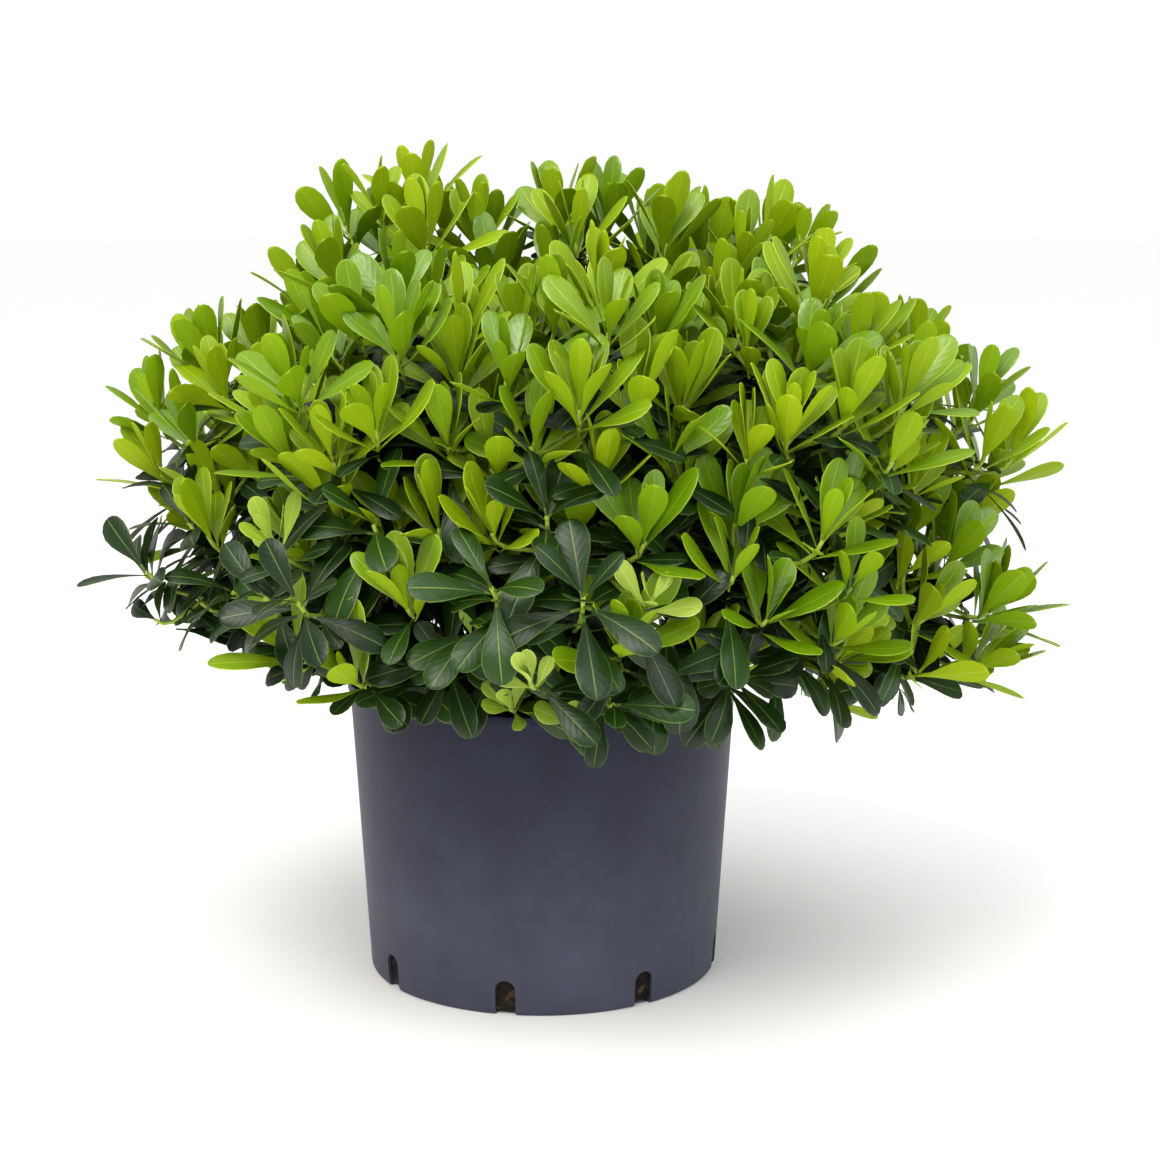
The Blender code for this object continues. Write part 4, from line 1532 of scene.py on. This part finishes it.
class Dresser:
    """Grows the whole crown and hands its pieces over."""

    finer_spacing = 0.0355
    finer_rounds = ((0.049, 0.05, 0.006), (0.049, -0.25, 0.0), (0.058, -0.35, -0.004))
    skirt_tries = 220
    skirt_heights = (0.030, 0.062)
    skirt_front = -0.10

    def __init__(self) -> None:
        """Prepare the crown and its twig finishes."""
        self.crown = Crown()
        self.twig_finishes = [
            TwigBark("young bark, grey brown", "#4a4630", "#6c6a48", 2.5 * MM, 0.75).make(),
            TwigBark("green twig skin", "#7d9a1e", "#a0ba3c", 3.0 * MM, 0.50).make(),
        ]
        self.limb_finish = TwigBark("fissured bark of a short stem", "#3d352a", "#6d6352", 3.5 * MM, 0.85).make()

    def build_limbs(self) -> None:
        """The stem and the boughs, with their bark's relief."""
        for name, limb in self.crown.limbs.items():
            BarkedLimb(limb, self.limb_finish).build("stem" if name == "stem" else f"bough_{name}")

    def twig(self, sheaf: Sheaf, points: list, wide: float, narrow: float, sides: int, skin: TwigSkin) -> None:
        """Lay one tapering twig into a sheaf."""
        last = len(points) - 1
        radii = [wide + (narrow - wide) * step / last for step in range(last + 1)]
        corners, faces, spread = tube_shape(points, radii, sides)
        sheaf.add(corners, faces, np.full(len(faces), int(skin)), spread)

    def join(self, forks: list, tip: Vector) -> None:
        """Let a finer shoot to this tip leave the shoot that ends nearest to it."""
        if not forks:
            return
        fork = min(forks, key=lambda f: min((s.tip - tip).length for s in f.shoots))
        host = min(fork.shoots, key=lambda s: (s.tip - tip).length)
        start = host.start.lerp(host.tip, 0.35)
        aim = self.crown.rule.aim(tip)
        fork.shoots.append(Shoot(start, tip, aim, self.crown.rng.uniform(0, math.tau)))

    def plan(self) -> dict:
        """The forks of every mass, first the source's own, then the finer ones."""
        rule = self.crown.rule
        taken: list = []
        plans = {}
        for mass in MASSES:
            places = rule.growing_points(
                mass, taken, rule.tip_spacing, rule.tip_depth, rule.tip_tries, rule.tip_facing, rule.tip_margin
            )
            plans[mass.name] = rule.forks(mass, places, random.Random(1))
        for depth, facing, margin in self.finer_rounds:
            for mass in MASSES:
                for tip in rule.growing_points(mass, taken, self.finer_spacing, depth, 420, facing, margin):
                    self.join(plans[mass.name], tip)
        for index in range(self.skirt_tries):
            turn = index * GOLDEN_ANGLE
            reach = 0.150 + 0.060 * ((index * 7) % 10) / 10
            tip = Vector((reach * math.cos(turn), reach * math.sin(turn), 0.0))
            tip.z = rule.underside(tip) + self.skirt_heights[index % 2]
            mass = max(MASSES, key=lambda one: rule.room(one, tip))
            if tip.y < self.skirt_front or rule.room(mass, tip) < 0.0:
                continue
            if all((tip - other).length > 0.028 for other in taken):
                taken.append(tip)
                self.join(plans[mass.name], tip)
        return plans

    def build(self) -> None:
        """Grow everything: what shows first, so that the inner leaves give way to it."""
        self.build_limbs()
        plans = self.plan()
        growths = [Growth(self, mass, plans[mass.name]) for mass in MASSES]
        for step in (Growth.grow_twigs, Growth.grow_fans, Growth.grow_whorls, Growth.grow_inner):
            for growth in growths:
                step(growth)
            log.info("%s: %d leaves set, %d left out", step.__name__, self.crown.set_leaves, self.crown.dropped)
        for growth in growths:
            growth.hand_in()


class Growth:
    """What grows in one mass's space: twigs, fans of new leaves, whorls of old ones."""

    whorl_below = 0.034
    young_below = 0.262
    light_share = 0.9
    even_height = 0.08
    turn_up = 0.20

    def __init__(self, dresser: Dresser, mass: Mass, forks: list) -> None:
        """Take the mass and its forks, with three empty sheaves."""
        self.dresser = dresser
        self.crown = dresser.crown
        self.rng = random.Random(mass.name)
        self.mass = mass
        self.forks = forks
        self.twigs = Sheaf(f"twigs_{mass.name}", False)
        self.fresh = Sheaf(f"new_leaves_{mass.name}", True)
        self.old = Sheaf(f"old_leaves_{mass.name}", True)

    def grow_twigs(self) -> None:
        """The bough's end, a bowed twig to each fork and a green one to each growing point."""
        bough = self.crown.limbs[self.mass.name]
        arrive = (bough.points[-1] - bough.points[-2]).normalized()
        heart = [bough.points[-1], bough.points[-1].lerp(self.mass.centre, 0.5), self.mass.centre]
        self.dresser.twig(self.twigs, heart, 0.0028, 0.0026, 8, TwigSkin.BARK)
        for fork in self.forks:
            way = (fork.place - self.mass.centre).normalized()
            leave = arrive.lerp(way, 0.6).normalized()
            path = curve_points(self.mass.centre, leave, fork.place, way, 6)
            self.dresser.twig(self.twigs, path, 0.0024, 0.0018, 7, TwigSkin.BARK)
            for shoot in fork.shoots:
                away = (shoot.tip - self.crown.rule.heart).normalized()
                if self.rng.random() < self.mass.fresh + self.light_share * (away.z - self.even_height):
                    shoot.age = Age.FRESH
                elif self.rng.random() < (0.55 if shoot.tip.z < self.young_below else 0.12):
                    shoot.age = Age.YOUNG
                reach = 0.016 if shoot.age is Age.YOUNG else self.rng.uniform(-0.012, 0.014)
                shoot.tip = shoot.tip + away * reach
                way_out = (shoot.tip - shoot.start).normalized()
                shoot.path = curve_points(shoot.start, way_out, shoot.tip, shoot.aim, 7)
                self.dresser.twig(self.twigs, shoot.path, 0.0018, 0.0014, 6, TwigSkin.GREEN)

    def grow_fans(self) -> None:
        """The fan at every growing point: of new leaves in the light, of old ones in the shade."""
        rng = self.rng
        for fork in self.forks:
            for shoot in fork.shoots:
                back = (shoot.path[-2] - shoot.path[-1]).normalized()
                sheaf = self.old if shoot.age is Age.OLD else self.fresh
                if shoot.age is Age.FRESH:
                    splays = (rng.uniform(0.85, 1.30), 0.18)
                    shoot.aim = shoot.aim.lerp(UP, self.turn_up).normalized()
                    fewest = 9 if shoot.tip.z > 0.40 else 7
                    count, droop = rng.randint(fewest, fewest + 3), 0.0
                elif shoot.age is Age.YOUNG:
                    splays, count, droop = (rng.uniform(0.9, 1.3), 0.25), rng.randint(5, 7), 0.0
                else:
                    splays, count, droop = (1.75, 0.5), rng.randint(7, 9), 0.45
                self.crown.rosette(sheaf, self.crown.kinds[shoot.age], shoot, back, count, splays, droop, 1.0)

    def grow_whorls(self) -> None:
        """The last years' leaves: a whorl below each fan and one at each fork."""
        rng = self.rng
        kind = self.crown.kinds[Age.OLD]
        for fork in self.forks:
            way = (fork.place - self.mass.centre).normalized()
            whorl = Shoot(fork.place, fork.place, way.lerp(UP, 0.2).normalized(), rng.uniform(0, math.tau))
            # The fork's whorl takes the painted-shade tints.
            self.crown.rosette(self.old, self.crown.kinds[Age.SHADED], whorl, -way, 7, (1.75, 0.85), 0.30, 1.1)
            for shoot in fork.shoots:
                below = shoot.tip - shoot.aim * self.whorl_below
                below = min(shoot.path, key=lambda place: (place - below).length)
                ring = Shoot(below, below, shoot.aim, rng.uniform(0, math.tau))
                self.crown.rosette(self.old, kind, ring, -shoot.aim, 5, (1.70, 1.15), 0.25, 0.9)

    def grow_inner(self) -> None:
        """Old leaves along the twigs inside, in the painted-shade tints, which close the crown against the light."""
        rng = self.rng
        kind = self.crown.kinds[Age.SHADED]
        for fork in self.forks:
            way = (fork.place - self.mass.centre).normalized()
            for share in (0.15, 0.35, 0.55, 0.78):
                spot = self.mass.centre.lerp(fork.place, share)
                ring = Shoot(spot, spot, way, rng.uniform(0, math.tau))
                self.crown.rosette(self.old, kind, ring, -way, 5, (1.5, 1.0), 0.15, 1.0)
        bough = self.crown.limbs[self.mass.name]
        for share in (0.40, 0.55, 0.70, 0.85, 1.0):
            spot = bough.at(share)
            way = (bough.at(share) - bough.at(share - 0.05)).normalized()
            side = way.orthogonal().normalized() * (bough.radius_at(share) + 0.002)
            for turn in range(4):
                start = spot + Matrix.Rotation(turn * math.tau / 4 + share * 9.0, 3, way) @ side
                ring = Shoot(start, start, (start - spot).normalized().lerp(way, 0.4).normalized(), 0.0)
                self.crown.rosette(self.old, kind, ring, -way, 2, (0.5, 0.5), 0.1, 0.95)

    def hand_in(self) -> None:
        """Bind the sheaves and hand the pieces over."""
        node = f"mass_{self.mass.name}"
        kinds = self.crown.kinds
        hand_over(self.twigs.bind(self.dresser.twig_finishes), Slot.BARK, node)
        if self.fresh.count:
            skins = kinds[Age.FRESH].skins + kinds[Age.YOUNG].skins
            hand_over(self.fresh.bind(skins), Slot.FOLIAGE, node)
        if self.old.count:
            hand_over(self.old.bind(kinds[Age.OLD].skins + kinds[Age.SHADED].skins), Slot.FOLIAGE, node)


@dataclass
class Studio:
    """A pale floor, soft lights and the camera."""

    horizon: float = 1.0
    walls: float = 0.34
    ceiling: float = 1.40
    floor_radius: float = 40.0

    camera_place: tuple = (0.0269, -1.555, 0.543)
    camera_pitch: float = math.radians(9.58)
    lens: float = 68.3

    def lamp(self, name: str, place: tuple, size: float, power: float, colour: str) -> None:
        """A soft square light that looks at the crown."""
        deselect_all()
        bpy.ops.object.light_add(type="AREA", location=place)
        light = bpy.context.object
        light.name = name
        light.data.size = size
        light.data.energy = power
        light.data.color = srgb(colour)[:3]
        look = Vector((0.02, 0.0, 0.32)) - Vector(place)
        light.rotation_euler = look.to_track_quat("-Z", "Y").to_euler()

    def light_room(self) -> None:
        """A white room: a pale band at the horizon, dimmer walls and a bright ceiling."""
        world = bpy.data.worlds.new("studio")
        bpy.context.scene.world = world
        world.use_nodes = True
        tree = world.node_tree
        way = add_node(tree, "ShaderNodeTexCoord", {}, {}).outputs["Generated"]
        parts = add_node(tree, "ShaderNodeSeparateXYZ", {}, {"Vector": way})
        levels = ((0.0, self.horizon), (0.13, self.horizon), (0.26, self.walls), (0.45, self.walls), (0.75, self.ceiling))
        stops = [(place, (*[level / self.ceiling] * 3, 1.0)) for place, level in levels]
        bands = add_node(tree, "ShaderNodeValToRGB", {"stops": stops}, {"Fac": parts.outputs["Z"]})
        sky = tree.nodes["Background"]
        tree.links.new(bands.outputs["Color"], sky.inputs["Color"])
        sky.inputs["Strength"].default_value = self.ceiling

    def build(self) -> None:
        """Lay the floor, hang the lights and set the camera."""
        deselect_all()
        bpy.ops.mesh.primitive_circle_add(vertices=96, radius=self.floor_radius, fill_type="NGON")
        floor = bpy.context.object
        floor.name = "studio_floor"
        made, tree, shader = new_material("matt white paper sweep")
        shader.inputs["Base Color"].default_value = srgb("#fcfcfb")
        shader.inputs["Roughness"].default_value = 0.9
        floor.data.materials.append(made)
        self.lamp("key", (-0.65, -1.52, 2.22), 1.5, 49.0, "#fffaf2")
        self.lamp("fill", (1.5, -1.4, 1.7), 1.4, 12.0, "#f8faff")
        self.light_room()
        deselect_all()
        bpy.ops.object.camera_add(location=self.camera_place, rotation=(math.radians(90) - self.camera_pitch, 0, 0))
        camera = bpy.context.object
        camera.name = "camera"
        camera.data.lens = self.lens
        camera.data.sensor_width = 36.0
        bpy.context.scene.camera = camera
        bpy.context.scene.view_settings.view_transform = "Standard"


def main() -> None:
    """Build every sub-assembly in order."""
    logging.basicConfig(level=logging.INFO, format="%(name)s %(message)s")
    NurseryPot().build()
    GrowingMix().build()
    Dresser().build()
    Studio().build()


if __name__ == "__main__":
    main()
